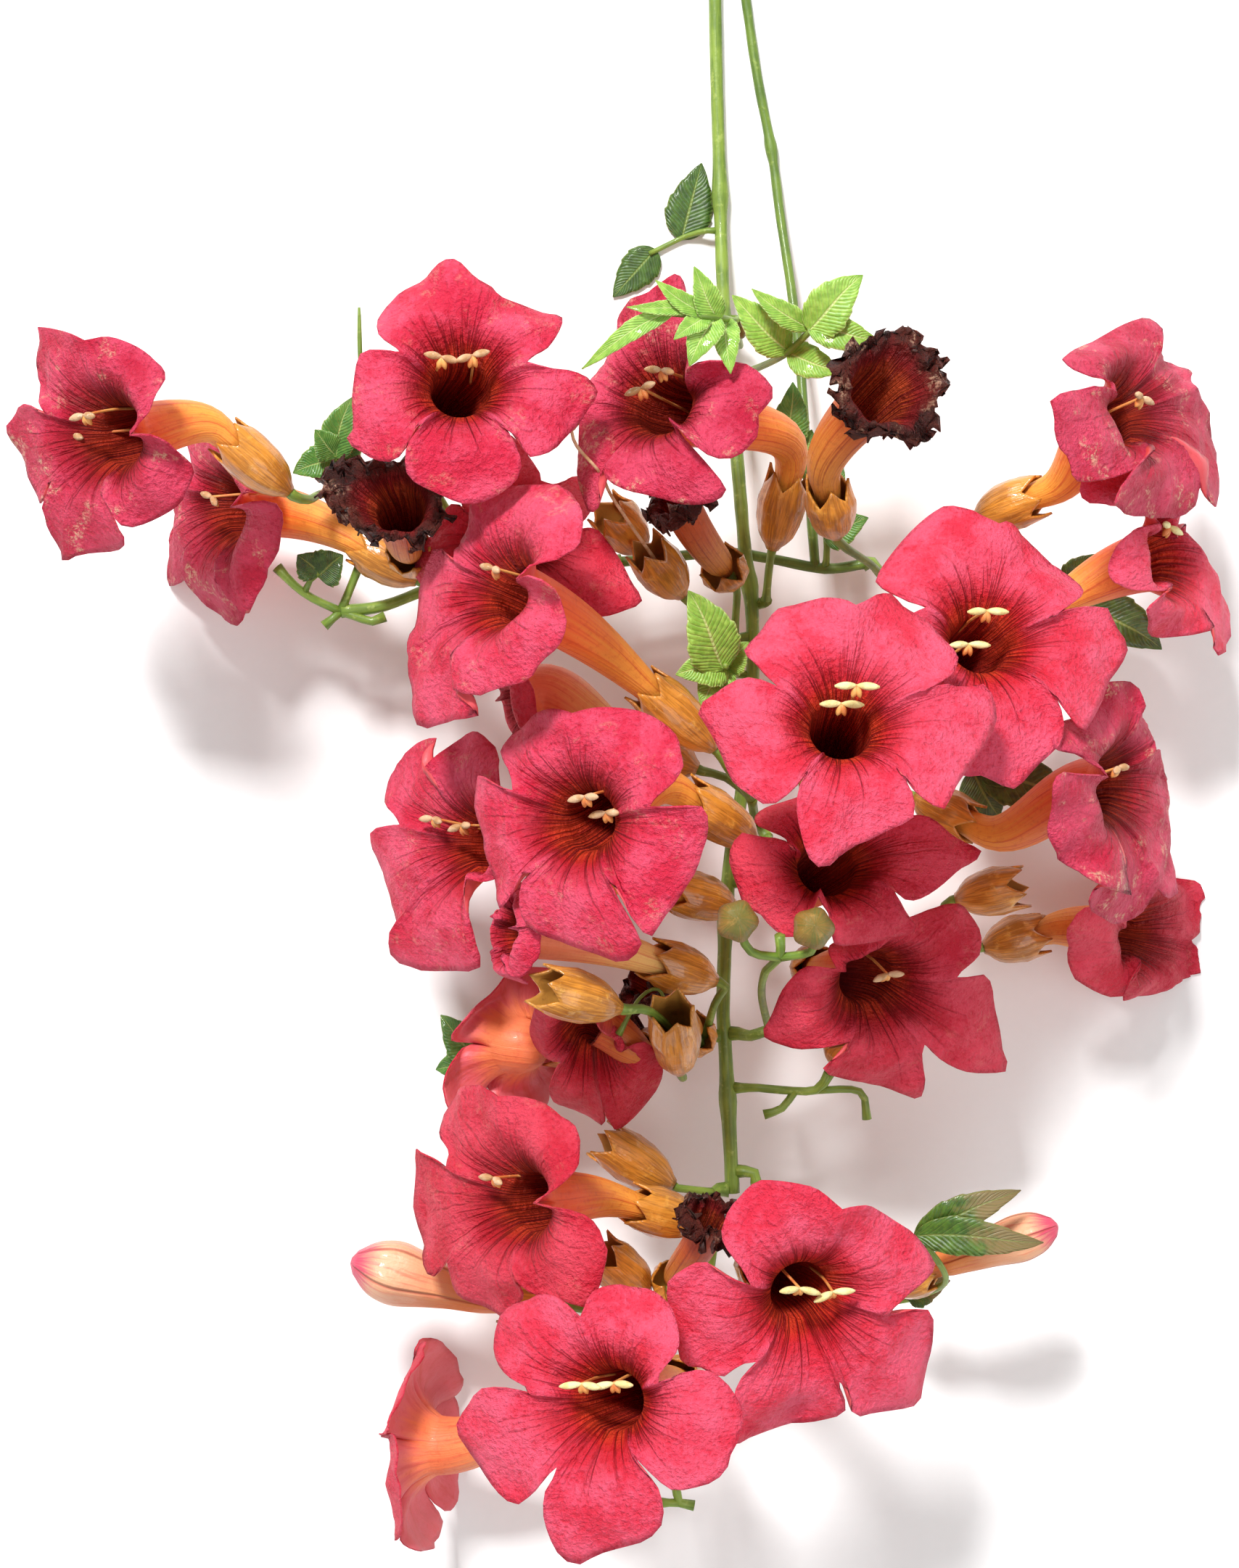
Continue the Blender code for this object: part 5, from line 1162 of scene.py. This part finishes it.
def corolla(bloom, margin, look, seed):
    # The tube: circles on a Hermite path. The limb: a quadratic Bezier from throat over lip to margin.
    middle, facing, first, second = limbFrame(bloom)
    base, axis, start, throat, size = tubeFrame(bloom)
    lobes, steps = petal["lobes"], petal["steps"]
    back = bloom.get("back", petal["back"]) * mm
    if margin:
        edge = readMargin(margin, middle, facing, back)
        notches = np.roll(edge[::steps], -1, 0)
    else:
        edge, notches = evenMargin(bloom, middle, facing, first, second, back)
    around = np.arctan2((notches - middle) @ second, (notches - middle) @ first)
    for i in range(1, lobes):
        while around[i] > around[i - 1] - petal["apart"]:
            around[i] -= 2 * math.pi
    evenStart = (around + 2 * math.pi * np.arange(lobes) / lobes).mean()

    lobe = np.repeat(np.arange(lobes), steps)
    share = np.tile(np.arange(steps) / steps, lobes)
    turn = math.pi * (share - 0.5)
    sine, cosine = np.sin(turn)[:, None], np.cos(turn)[:, None]
    startAngle = around[lobe - 1] + np.where(lobe == 0, 2 * math.pi, 0)
    limbAngle = startAngle + (around[lobe] - startAngle) * (np.sin(turn) + 1 + 2 * share) / 4
    evenAngle = evenStart - 2 * math.pi * (lobe - 1 + share) / lobes

    rows = []
    out = rotation(facing, axis)
    ring = circle(evenAngle, out @ first, out @ second)
    rows.append(base + axis * petal["inside"] * mm + ring * petal["start"] * mm)
    rows.append(start - axis * petal["overrun"] * mm + ring * (petal["neck"] * petal["squeeze"]) * mm)
    levels = [0.0, petalLevels["neck"]]
    span = np.linalg.norm(throat - start)
    knots = (start, axis * span, throat, facing * span)
    for t in np.linspace(0, 1, petal["tubeRows"]):
        weights = (2 * t**3 - 3 * t**2 + 1, t**3 - 2 * t**2 + t, 3 * t**2 - 2 * t**3, t**3 - t**2)
        slopes = (6 * t**2 - 6 * t, 3 * t**2 - 4 * t + 1, 6 * t - 6 * t**2, 3 * t**2 - 2 * t)
        spot = sum(w * k for w, k in zip(weights, knots))
        out = rotation(facing, unit(sum(w * k for w, k in zip(slopes, knots))))
        ring = circle(evenAngle + (limbAngle - evenAngle) * t, out @ first, out @ second)
        widening = (1 - petal["swell"]) * t + petal["swell"] * math.sin(math.pi * t)
        radius = petal["neck"] + (petal["throat"] * size - petal["neck"]) * widening
        rows.append(spot + ring * radius * mm)
        levels.append(petalLevels["tube"] + (petalLevels["throat"] - petalLevels["tube"]) * t)
    inner = rows[-1]
    lipReach = np.minimum(petal["mouth"] * mm * size, np.linalg.norm(edge - middle, axis=1) * petal["lip"])
    lip = middle + circle(limbAngle, first, second) * lipReach[:, None]
    curl = look.get("curl", petal["curl"]) * mm
    for t in np.linspace(0, 1, petal["limbRows"] + 1)[1:]:
        ring = inner * (1 - t) ** 2 + lip * 2 * t * (1 - t) + edge * t * t
        fall = curl * t**4 * cosine**2 + petal["cup"] * mm * t**2 * sine**2 * cosine * 1.5
        swing = petal["overlap"] * mm * t**2 * sine * cosine * 2
        fold = petal["fold"] * mm * math.sin(math.pi * t) * np.cos(petal["folds"] * turn)[:, None]
        belly = petal["belly"] * mm * math.sin(math.pi * t**1.3) ** 2 * cosine**1.5
        rows.append(ring + facing * (swing - fall + fold + belly))
        levels.append(petalLevels["throat"] + (1 - petalLevels["throat"]) * t)
    grid = np.stack(rows)
    ruffle(grid, np.array(levels)[:, None], facing, look, seed)
    # A soft floor that keeps the shell's middle over the surface.
    grid[..., 2] = (grid[..., 2] + np.sqrt(grid[..., 2] ** 2 + (petal["clear"] * mm) ** 2)) / 2
    return grid, np.append((lobe + share), lobes), np.array(levels)


def ruffle(grid, level, facing, look, seed):
    # Waves and fine crinkles over the limb, and on withered petals a crumple in all three directions.
    uneven = unevenness
    growth = np.maximum(level - uneven["waveFrom"], 0) ** 1.3 * uneven["waveGrowth"]
    wave = look.get("wave", uneven["wave"]) * mm * growth
    grid += facing * (wave * ripple(grid, uneven["waveLength"] * mm, seed))[..., None]
    grid += facing * (uneven["small"] * wave * ripple(grid, uneven["smallLength"] * mm, seed + 50))[..., None]
    growth = np.clip((level - uneven["crinkleFrom"]) * uneven["crinkleGrowth"], 0, 1)
    crinkle = uneven["crinkle"] * mm * growth
    grid += facing * (crinkle * ripple(grid, uneven["crinkleLength"] * mm, seed + 70, 14))[..., None]
    if "crumple" in look:
        growth = np.maximum(level - uneven["crumpleFrom"], 0) * uneven["crumpleGrowth"]
        for k in range(3):
            fine = ripple(grid, uneven["crumpleFine"] * mm, seed + 9 + k)
            push = ripple(grid, uneven["crumpleLength"] * mm, seed + k) + 0.5 * fine
            grid[..., k] += look["crumple"] * mm * growth * push


anther = {"length": 5.4, "radius": 0.95, "old": 0.8, "spread": (1, 0.16, 0.22), "filament": 0.36,
          "filamentSides": 6, "root": 6.5, "rootAlong": 0.7, "rootPush": 0.06, "bow": 0.5,
          "stub": 3, "stubRadius": 0.8, "stubSpread": (0.3, 0.8, 0.5), "rows": 8, "sides": 8, "droop": 0.12}


def spindle(shape, middle, direction, length, radius, slot):
    # A pod whose radius swells as sin ** 0.7 along its length.
    share = np.linspace(0, 1, anther["rows"])
    droop = np.array((0, 0, -anther["droop"])) * length * share[:, None] ** 2
    path = middle + direction * length * share[:, None] + droop
    radii = radius * (np.sin(math.pi * (share * 0.92 + 0.04)) ** 0.7)
    around = np.linspace(0, 1, anther["sides"] + 1)
    shape.add(tubeGrid(path, radii, anther["sides"]), around, share, slot, True, True, True)


def stamens(bloom, look):
    # Each anther is two pods side by side at the end of a filament that leaves the tube's wall.
    middle, facing, first, second = limbFrame(bloom)
    axis, start, throat, size = tubeFrame(bloom)[1:]
    push = (axis - facing) * np.linalg.norm(throat - start) * anther["rootPush"]
    tube = start * (1 - anther["rootAlong"]) + throat * anther["rootAlong"] + push
    share = 1 if look["tone"] == "coral" else anther["old"]
    sides = anther["filamentSides"]
    shape = Shape()
    for u, v, turn, depth in look["anthers"]:
        head = placeOnPlane(u, v, middle, facing, depth * mm)
        side = head - middle
        side = unit(side - facing * (side @ facing))
        root = tube + side * anther["root"] * mm * size
        bow = (root + head) / 2 + side * anther["bow"] * mm
        path = smoothPath((root, bow, head), 1.2 * mm)
        thread = tubeGrid(path, np.full(len(path), anther["filament"] * mm), sides)
        shape.add(thread, np.linspace(0, 1, sides + 1), np.linspace(0, 1, len(path)), 0, True, True, True)
        angle = math.radians(turn)
        right = first * math.cos(angle) + second * math.sin(angle)
        for way in (-1, 1):
            out, down, forward = anther["spread"]
            spread = unit(right * way * out - second * down + facing * forward)
            spindle(shape, head, spread, anther["length"] * mm * share, anther["radius"] * mm, 1)
            out, down, backward = anther["stubSpread"]
            spread = unit(right * way * out - second * down - facing * backward)
            spindle(shape, head, spread, anther["stub"] * mm, anther["stubRadius"] * mm, 0)
    return shape


cup = {"teeth": 5, "depth": 4.6, "over": 0.6, "rib": 0.05, "wall": 0.6, "columns": 40, "rows": 16,
       "uneven": 0.25, "wavelength": 6, "heights": (0, 0.05, 0.12, 0.22, 0.4, 0.62, 0.85, 1.1),
       "radii": (1.2, 1.7, 3.0, 4.2, 5.2, 5.6, 5.0, 4.7)}


def calyxGrid(seat, teeth, seed):
    # Radii by height through foot, waist, belly and mouth; the margin dips between teeth as a rounded zigzag.
    base, axis, length = calyxFrame(seat, teeth)
    columns = cup["columns"]
    angle = 2 * math.pi * np.arange(columns) / columns
    tooth = np.abs((angle * cup["teeth"] / (2 * math.pi)) % 1 - 0.5) * 2
    level = np.linspace(0, 1, cup["rows"])[:, None]
    height = level * (length + cup["over"] * mm - cup["depth"] * mm * (1 - tooth) ** 0.8)
    share = height / length
    radius = np.interp(share, cup["heights"], cup["radii"]) * mm
    radius = radius * (1 + cup["rib"] * (tooth**6 * 1.4 + (1 - tooth) ** 8) * np.minimum(share * 4, 1))
    turn = rotation(np.array((0.0, 0, 1)), axis)
    out = circle(angle, turn[:, 0], turn[:, 1])
    grid = base + out * radius[..., None] + axis * height[..., None]
    grid += out * (cup["uneven"] * mm * ripple(grid, cup["wavelength"] * mm, seed) * level)[..., None]
    return grid, np.arange(columns + 1) / columns * cup["teeth"], level[:, 0]


stem = {"light": 1.75, "dark": 1.3, "cross": 1.4, "step": 2.5, "lightSides": 16, "darkSides": 14,
        "lightKnobs": (0.18, 0.36, 0.52, 0.66, 0.78, 0.93), "darkKnobs": (0.3, 0.6),
        "crossKnobs": (0.35, 0.8), "fade": 9, "knob": 0.35, "knobWidth": 0.012, "uneven": 0.03,
        "wavelength": 9, "uvLength": 30}
# How pieces leave what carries them, in millimetres: where in a stem a branch starts and comes out, and
# how far a branch starts inside another's end and then runs on straight.
joint = {"inStem": 1.0, "outOfStem": 3.6, "inEnd": 0.6, "pastEnd": 1.5}
branch = {"foot": 1.5, "fork": 1.1, "end": 1.35, "pedicel": 1.0, "pedicelFlare": (1.3, 1.7),
          "underCalyx": 1.5, "inCalyx": 2.4, "round": 4.9}


def stalk(shape, points, radius, slot, step=3.0, sides=10, flare=(1, 1), knobs=()):
    # A smooth tube that swells by its flare at each end and at its knobs.
    path = smoothPath(points, step * mm)
    share = np.linspace(0, 1, len(path))
    fade = stem["fade"]
    swell = 1 + (flare[0] - 1) * np.exp(-share * fade) + (flare[1] - 1) * np.exp(-(1 - share) * fade)
    for knob in knobs:
        swell = swell + stem["knob"] * np.exp(-(((share - knob) / stem["knobWidth"]) ** 2))
    radii = radius * mm * swell * (1 + stem["uneven"] * ripple(path, stem["wavelength"] * mm, len(path)))
    along = share * len(path) * step / stem["uvLength"]
    shape.add(tubeGrid(path, radii, sides), np.linspace(0, 1, sides + 1), along, slot, True, True, True)


roundBud = {"rows": 14, "sides": 30, "ribs": 5, "rib": 0.07, "lean": 0.15, "tall": 1.06, "point": 0.2}


def ball(shape, middle, radius, slot):
    # A bud: rings of radius sin(angle) with five faint ribs and a small point on top.
    share = np.linspace(0, 1, roundBud["rows"])
    rise = (radius * (roundBud["tall"] * -np.cos(math.pi * share)))[:, None]
    path = middle + np.array((0, roundBud["lean"], 1.0)) * rise
    path[-1] += np.array((0, 0.2, 0.6)) * radius * roundBud["point"]
    radii = radius * np.maximum(np.sin(math.pi * share), 0.03) ** 0.95
    sides = roundBud["sides"]
    around = np.arange(sides + 1) / sides * roundBud["ribs"]
    shape.add(tubeGrid(path, radii, sides, roundBud["rib"]), around, share, slot, True, True, True)


def startOf(rule):
    # Where a piece leaves what carries it, sunk a little so that no gap shows.
    if rule[0] == "stem":
        side = np.array((rule[2], 0.0, 0))
        for (u0, v0, z0), (u1, v1, z1) in zip(lightStem, lightStem[1:]):
            if v0 <= rule[1] <= v1:
                t = (rule[1] - v0) / (v1 - v0)
                first = place(u0 + (u1 - u0) * t, rule[1], z0 + (z1 - z0) * t)
                return [first + side * joint[key] * mm for key in ("inStem", "outOfStem")]
    if rule[0] == "end":
        end = place(*rule[2])
        along = unit(end - place(*rule[1]))
        return [end - along * joint["inEnd"] * mm, end + along * joint["pastEnd"] * mm]
    return [place(*rule[1])]


def buildTruss(name, truss):
    green, orange = Shape(), Shape()
    for i, (radius, route) in enumerate(truss["branches"]):
        points = (startOf(truss["from"]) if i == 0 else []) + [place(*p) for p in route]
        foot = branch["foot"] if i == 0 else branch["fork"]
        stalk(green, points, radius, 0, flare=(foot, branch["end"]))
    for i, (owner, route) in enumerate(truss["calyces"]):
        if isinstance(owner, str):
            plant = {**blooms, **withered, **buds}[owner]
            owner = (plant["seat"], plant["teeth"])
        base, axis = calyxFrame(*owner)[:2]
        ends = [base - axis * branch["underCalyx"] * mm, base + axis * branch["inCalyx"] * mm]
        stalk(green, [place(*p) for p in route] + ends, branch["pedicel"], 0, flare=branch["pedicelFlare"])
        orange.add(*calyxGrid(*owner, 31 * i + len(name)))
    for spot in truss.get("rounds", []):
        ball(green, place(*spot), branch["round"] * mm, 1)
    green.build(name + "_stems", (stemGreen, budGreen), "stem", name)
    cups = orange.build(name + "_calyces", (calyxSkin, calyxInside), "calyx", name)
    thicken(cups, cup["wall"] * mm, 1, 1)


def leaflet(shape, base, tip, width, flat, seed):
    # Half width: a skewed sine narrowing to a long point, times 1 less a saw of forward teeth. The blade
    # is folded up along its midrib, arched along it, and lifted a little between its side veins.
    along = tip - base
    length = np.linalg.norm(along)
    base = base - along / length * blade["sunk"] * mm
    side = unit(np.cross(along, (0, 0, 1.0)))
    normal = np.cross(side, along / length)
    s = np.linspace(0, 1, blade["rows"])[:, None]
    across = np.linspace(-1, 1, blade["across"])[None, :]
    outline = np.sin(math.pi * s**0.72) ** 0.8 * (1 - 0.2 * s)
    saw = (s * blade["teeth"] + seed * 0.13) % 1
    outline = outline * (1 + blade["cut"] * (saw - 0.6) * (s > 0.16))
    half = np.maximum(outline * width * blade["half"], blade["least"] * mm)
    slant = s * blade["veins"] - np.abs(across) * blade["slant"]
    quilt = blade["quilt"] * mm * np.sin(slant * 2 * math.pi) * np.abs(across) * (1 - s)
    point = base + along * s[..., None]
    if flat:
        point = point + side * (across * half)[..., None] + normal * (quilt * blade["flatQuilt"])[..., None]
    else:
        fold = blade["fold"] * half * np.abs(across)
        arch = blade["arch"] * length * np.sin(math.pi * s) - blade["droop"] * length * s**3
        sway = blade["sway"] * length * np.sin(math.pi * s * 1.2 + seed)
        point = point + side * (across * half + sway)[..., None] + normal * (fold + arch + quilt)[..., None]
    shape.add(point, across[0], s[:, 0], 0, False)


def buildLeaf(name, leaf, tone):
    blades, stalks = Shape(), Shape()
    for i, (radius, route) in enumerate(leaf["stalks"]):
        points = (startOf(leaf["from"]) if i == 0 else []) + [place(*p) for p in route]
        stalk(stalks, points, radius, 0, flare=(1.4, 1.0), sides=8)
    for i, (base, tip, width) in enumerate(leaf["leaflets"]):
        width = width * blade["width"] * mm
        leaflet(blades, place(*base), place(*tip), width, "flat" in leaf, i + len(name))
    stalks.build(name + "_stalks", (stemGreen,), "stem", name)
    item = blades.build(name + "_blades", (leafTones[tone], leafTones[tone]), "leaf", name)
    thicken(item, blade["thickness"] * mm)


longBud = {"rows": 34, "columns": 40, "furrows": 5, "furrow": 0.045, "inside": 4.8, "neck": 0.05,
           "stations": (0.35, 0.7, 0.88, 1), "smooth": 5, "blunt": 0.35, "uneven": 0.3, "wavelength": 8}


def buildBud(name, bud):
    # A closed bloom: five petals folded to a blunt tip, so the ring has five shallow furrows.
    base, axis, length = calyxFrame(bud["seat"], bud["teeth"])
    neck = base + axis * (length + petal["past"] * mm)
    tip = place(*bud["tip"])
    shares = np.linspace(0, 1, longBud["rows"])
    start, smooth, columns = longBud["neck"], longBud["smooth"], longBud["columns"]
    knots = np.array([0, start] + [start + (1 - start) * s for s in longBud["stations"]])
    stations = [base + axis * longBud["inside"] * mm, neck]
    stations = np.array(stations + [neck + (tip - neck) * s for s in longBud["stations"]])
    path = np.stack([np.interp(shares, knots, stations[:, k]) for k in range(3)], 1)
    radii = np.interp(shares, knots, bud["radii"]) * mm
    radii = np.convolve(np.pad(radii, smooth // 2, mode="edge"), np.ones(smooth) / smooth, "valid")
    radii[-1] *= longBud["blunt"]
    grid = tubeGrid(path, radii, columns, longBud["furrow"])
    up = np.array((0, 0, 1.0))
    grid += longBud["uneven"] * mm * ripple(grid, longBud["wavelength"] * mm, 5)[..., None] * up
    around = np.arange(columns + 1) / columns * longBud["furrows"]
    shape = Shape().add(grid, around, shares, 0, True, True, True)
    shape.build(name, (budSkin,), "bud_petal", name)


def buildCorolla(name, bloom, margin, look, seed, materials, slot):
    shape = Shape().add(*corolla(bloom, margin, look, seed), 0, True, True)
    thicken(shape.build(name, materials, slot, name), petal["thickness"] * mm, 0, 1)


# Thin things in the scene alone: a dried style, a drooping style, a spike of a leaf and a small bud.
wisps = [
    {"radius": 0.42, "slot": 1, "flare": (1.4, 1), "ball": ((787, 583, 93.5), 1.9, 1),
     "route": [(905, 775, 58), (846, 689, 78), (828, 653, 88), (795, 615, 92), (787, 590, 93)]},
    {"radius": 0.45, "slot": 0, "flare": (1.2, 2.2),
     "route": [(916, 1412, 60), (918, 1388, 64), (907, 1364, 67), (882, 1376, 68), (853, 1426, 66)]},
    {"radius": 0.65, "slot": 0, "flare": (1.3, 0.5), "step": 2,
     "route": [(505, 600, 60), (497, 500, 62), (495, 424, 62)]},
    {"radius": 0.7, "slot": 0, "flare": (1, 1), "from": ("stem", 478, 1), "ball": ((1020, 455, 46), 2.2, 2),
     "route": [(1018, 462, 44)]},
]


def buildWisps():
    shape = Shape()
    for wisp in wisps:
        points = (startOf(wisp["from"]) if "from" in wisp else []) + [place(*p) for p in wisp["route"]]
        stalk(shape, points, wisp["radius"], wisp["slot"], wisp.get("step", 1.5), 8, wisp["flare"])
        if "ball" in wisp:
            spot, radius, slot = wisp["ball"]
            ball(shape, place(*spot), radius * mm, slot)
    shape.build("wisps", (stemGreen, pollenOld, budGreen), "stem")


def buildStems():
    light, dark = Shape(), Shape()
    routes = [[place(*p) for p in route] for route in (lightStem, darkStem, crossBranch)]
    step, sides = stem["step"], stem["darkSides"]
    stalk(light, routes[0], stem["light"], 0, step, stem["lightSides"], (1, 1.1), stem["lightKnobs"])
    light.build("stem_light", (stemGreen,), "stem", "stem_light")
    stalk(dark, routes[1], stem["dark"], 0, step, sides, (1, 1), stem["darkKnobs"])
    stalk(dark, routes[2], stem["cross"], 0, step, sides, (1, 1), stem["crossKnobs"])
    dark.build("stem_dark", (stemDark,), "stem", "stem_dark")


# Lamps: where each stands in metres, its size and its power.
light = {"sky": 0.46, "lamps": {"key": ((-0.7, 1.7, 2.3), 0.5, 104), "fill": ((0.9, -0.6, 1.6), 1.2, 11)}}
paper = {"reach": 3.0, "under": 0.0005, "roughness": 0.9, "grain": 300, "low": "FAFAFA", "high": "FFFFFF"}


def setStage():
    floor = bpy.data.meshes.new("floor")
    size = paper["reach"]
    corners = [(-size, -size, 0), (size, -size, 0), (size, size, 0), (-size, size, 0)]
    floor.from_pydata(corners, [], [(0, 1, 2, 3)])
    item = bpy.data.objects.new("floor", floor)
    item.location.z = -paper["under"]
    bpy.context.scene.collection.objects.link(item)
    graph = Graph("paper", paper["roughness"])
    grain = graph.noise(graph.position(), paper["grain"], 3)
    graph.colour(graph.mix(grain, colour(paper["low"]), colour(paper["high"])))
    floor.materials.append(graph.material)
    world = bpy.context.scene.world or bpy.data.worlds.new("world")
    bpy.context.scene.world = world
    world.use_nodes = True
    world.node_tree.nodes["Background"].inputs["Color"].default_value = (1, 1, 1, 1)
    world.node_tree.nodes["Background"].inputs["Strength"].default_value = light["sky"]
    for name, (spot, size, power) in light["lamps"].items():
        lamp = bpy.data.lights.new(name, "AREA")
        lamp.size = size
        lamp.energy = power
        holder = bpy.data.objects.new(name, lamp)
        holder.location = spot
        aim = rotation(np.array((0.0, 0, -1)), unit(-np.array(spot)))
        holder.rotation_euler = mathutils.Matrix(aim.tolist()).to_euler()
        bpy.context.scene.collection.objects.link(holder)


bpy.context.scene.view_settings.view_transform = "Standard"
setCamera()
setStage()
print("stage ready")

petals = {tone: petalInside(tone) for tone in petalTones}
tubes = {tone: petalOutside(tone) for tone in tubeTones}
stemGreen = mottled("stem_green", ("86A03C", "64802C", "AABC60"), 0.5, 400, 0.35, coat=0.1, lengthwise=0.5)
stemDark = mottled("stem_dark", ("6F8A30", "54702A", "94A850"), 0.5, 400, 0.35, coat=0.1, lengthwise=0.5)
budGreen = mottled("bud_green", ("8E6E2E", "6C6A2C", "B08C48"), 0.5, 420, 0.7, coat=0.15, lengthwise=0.5)
budSkin = budMaterial("bud_skin")
calyxSkin = mottled("calyx_skin", ("DA9234", "A86A20", "EAB050"), 0.34, 300, 0.7, coat=0.4, lengthwise=0.6)
calyxInside = mottled("calyx_inside", ("9A6426", "B88034", "6A3C18"), 0.6, 260, 0.5)
pollen = mottled("pollen", ("F0E6A8", "E4CE88", "C8A050"), 0.6, 900, 0.7)
pollenOld = mottled("pollen_old", ("D8B088", "B88858", "F0DCC0"), 0.7, 900, 0.8)
thread = mottled("thread", ("E8A85C", "D8783C", "F0C888"), 0.5, 600, 0.2)
leafTones = {
    "bright": leafMaterial("leaf_bright", "7EAE3C", "A2CC56", "D4E294"),
    "middle": leafMaterial("leaf_middle", "447A2C", "64943C", "A8C070"),
    "deep": leafMaterial("leaf_deep", "34501C", "4C7028", "8CA050"),
    "aged": leafMaterial("leaf_aged", "36561A", "4E7424", "7C8A44", "7C6C40"),
}
print("materials ready")

for number, (letter, bloom) in enumerate(blooms.items()):
    look = bloomLooks[letter]
    skins = (petals[look["tone"]], tubes[look.get("back", "warm")])
    buildCorolla("bloom_" + letter, bloom, margins.get(letter), look, 100 + number, skins, "petal")
    if "anthers" in look:
        dust = pollen if look["tone"] == "coral" else pollenOld
        stamens(bloom, look).build(f"bloom_{letter}_stamens", (thread, dust), "petal")
print("blooms ready")

skins = (petals["worn"], tubes["worn"])
for number, (letter, bloom) in enumerate(withered.items()):
    look = {"crumple": 1.6, "wave": 1.0, "curl": 0.5}
    name = "withered_" + letter
    buildCorolla(name, bloom, margins.get(letter), look, 300 + number, skins, "withered_petal")
for side, bud in buds.items():
    buildBud("bud_" + side, bud)
print("withered blooms and buds ready")

for key, truss in trusses.items():
    buildTruss("truss_" + key, truss)
for key, leaf in leaves.items():
    buildLeaf("leaf_" + key, leaf, leafLooks[key])
print("trusses and leaves ready")

buildWisps()
buildStems()
print("stems ready")
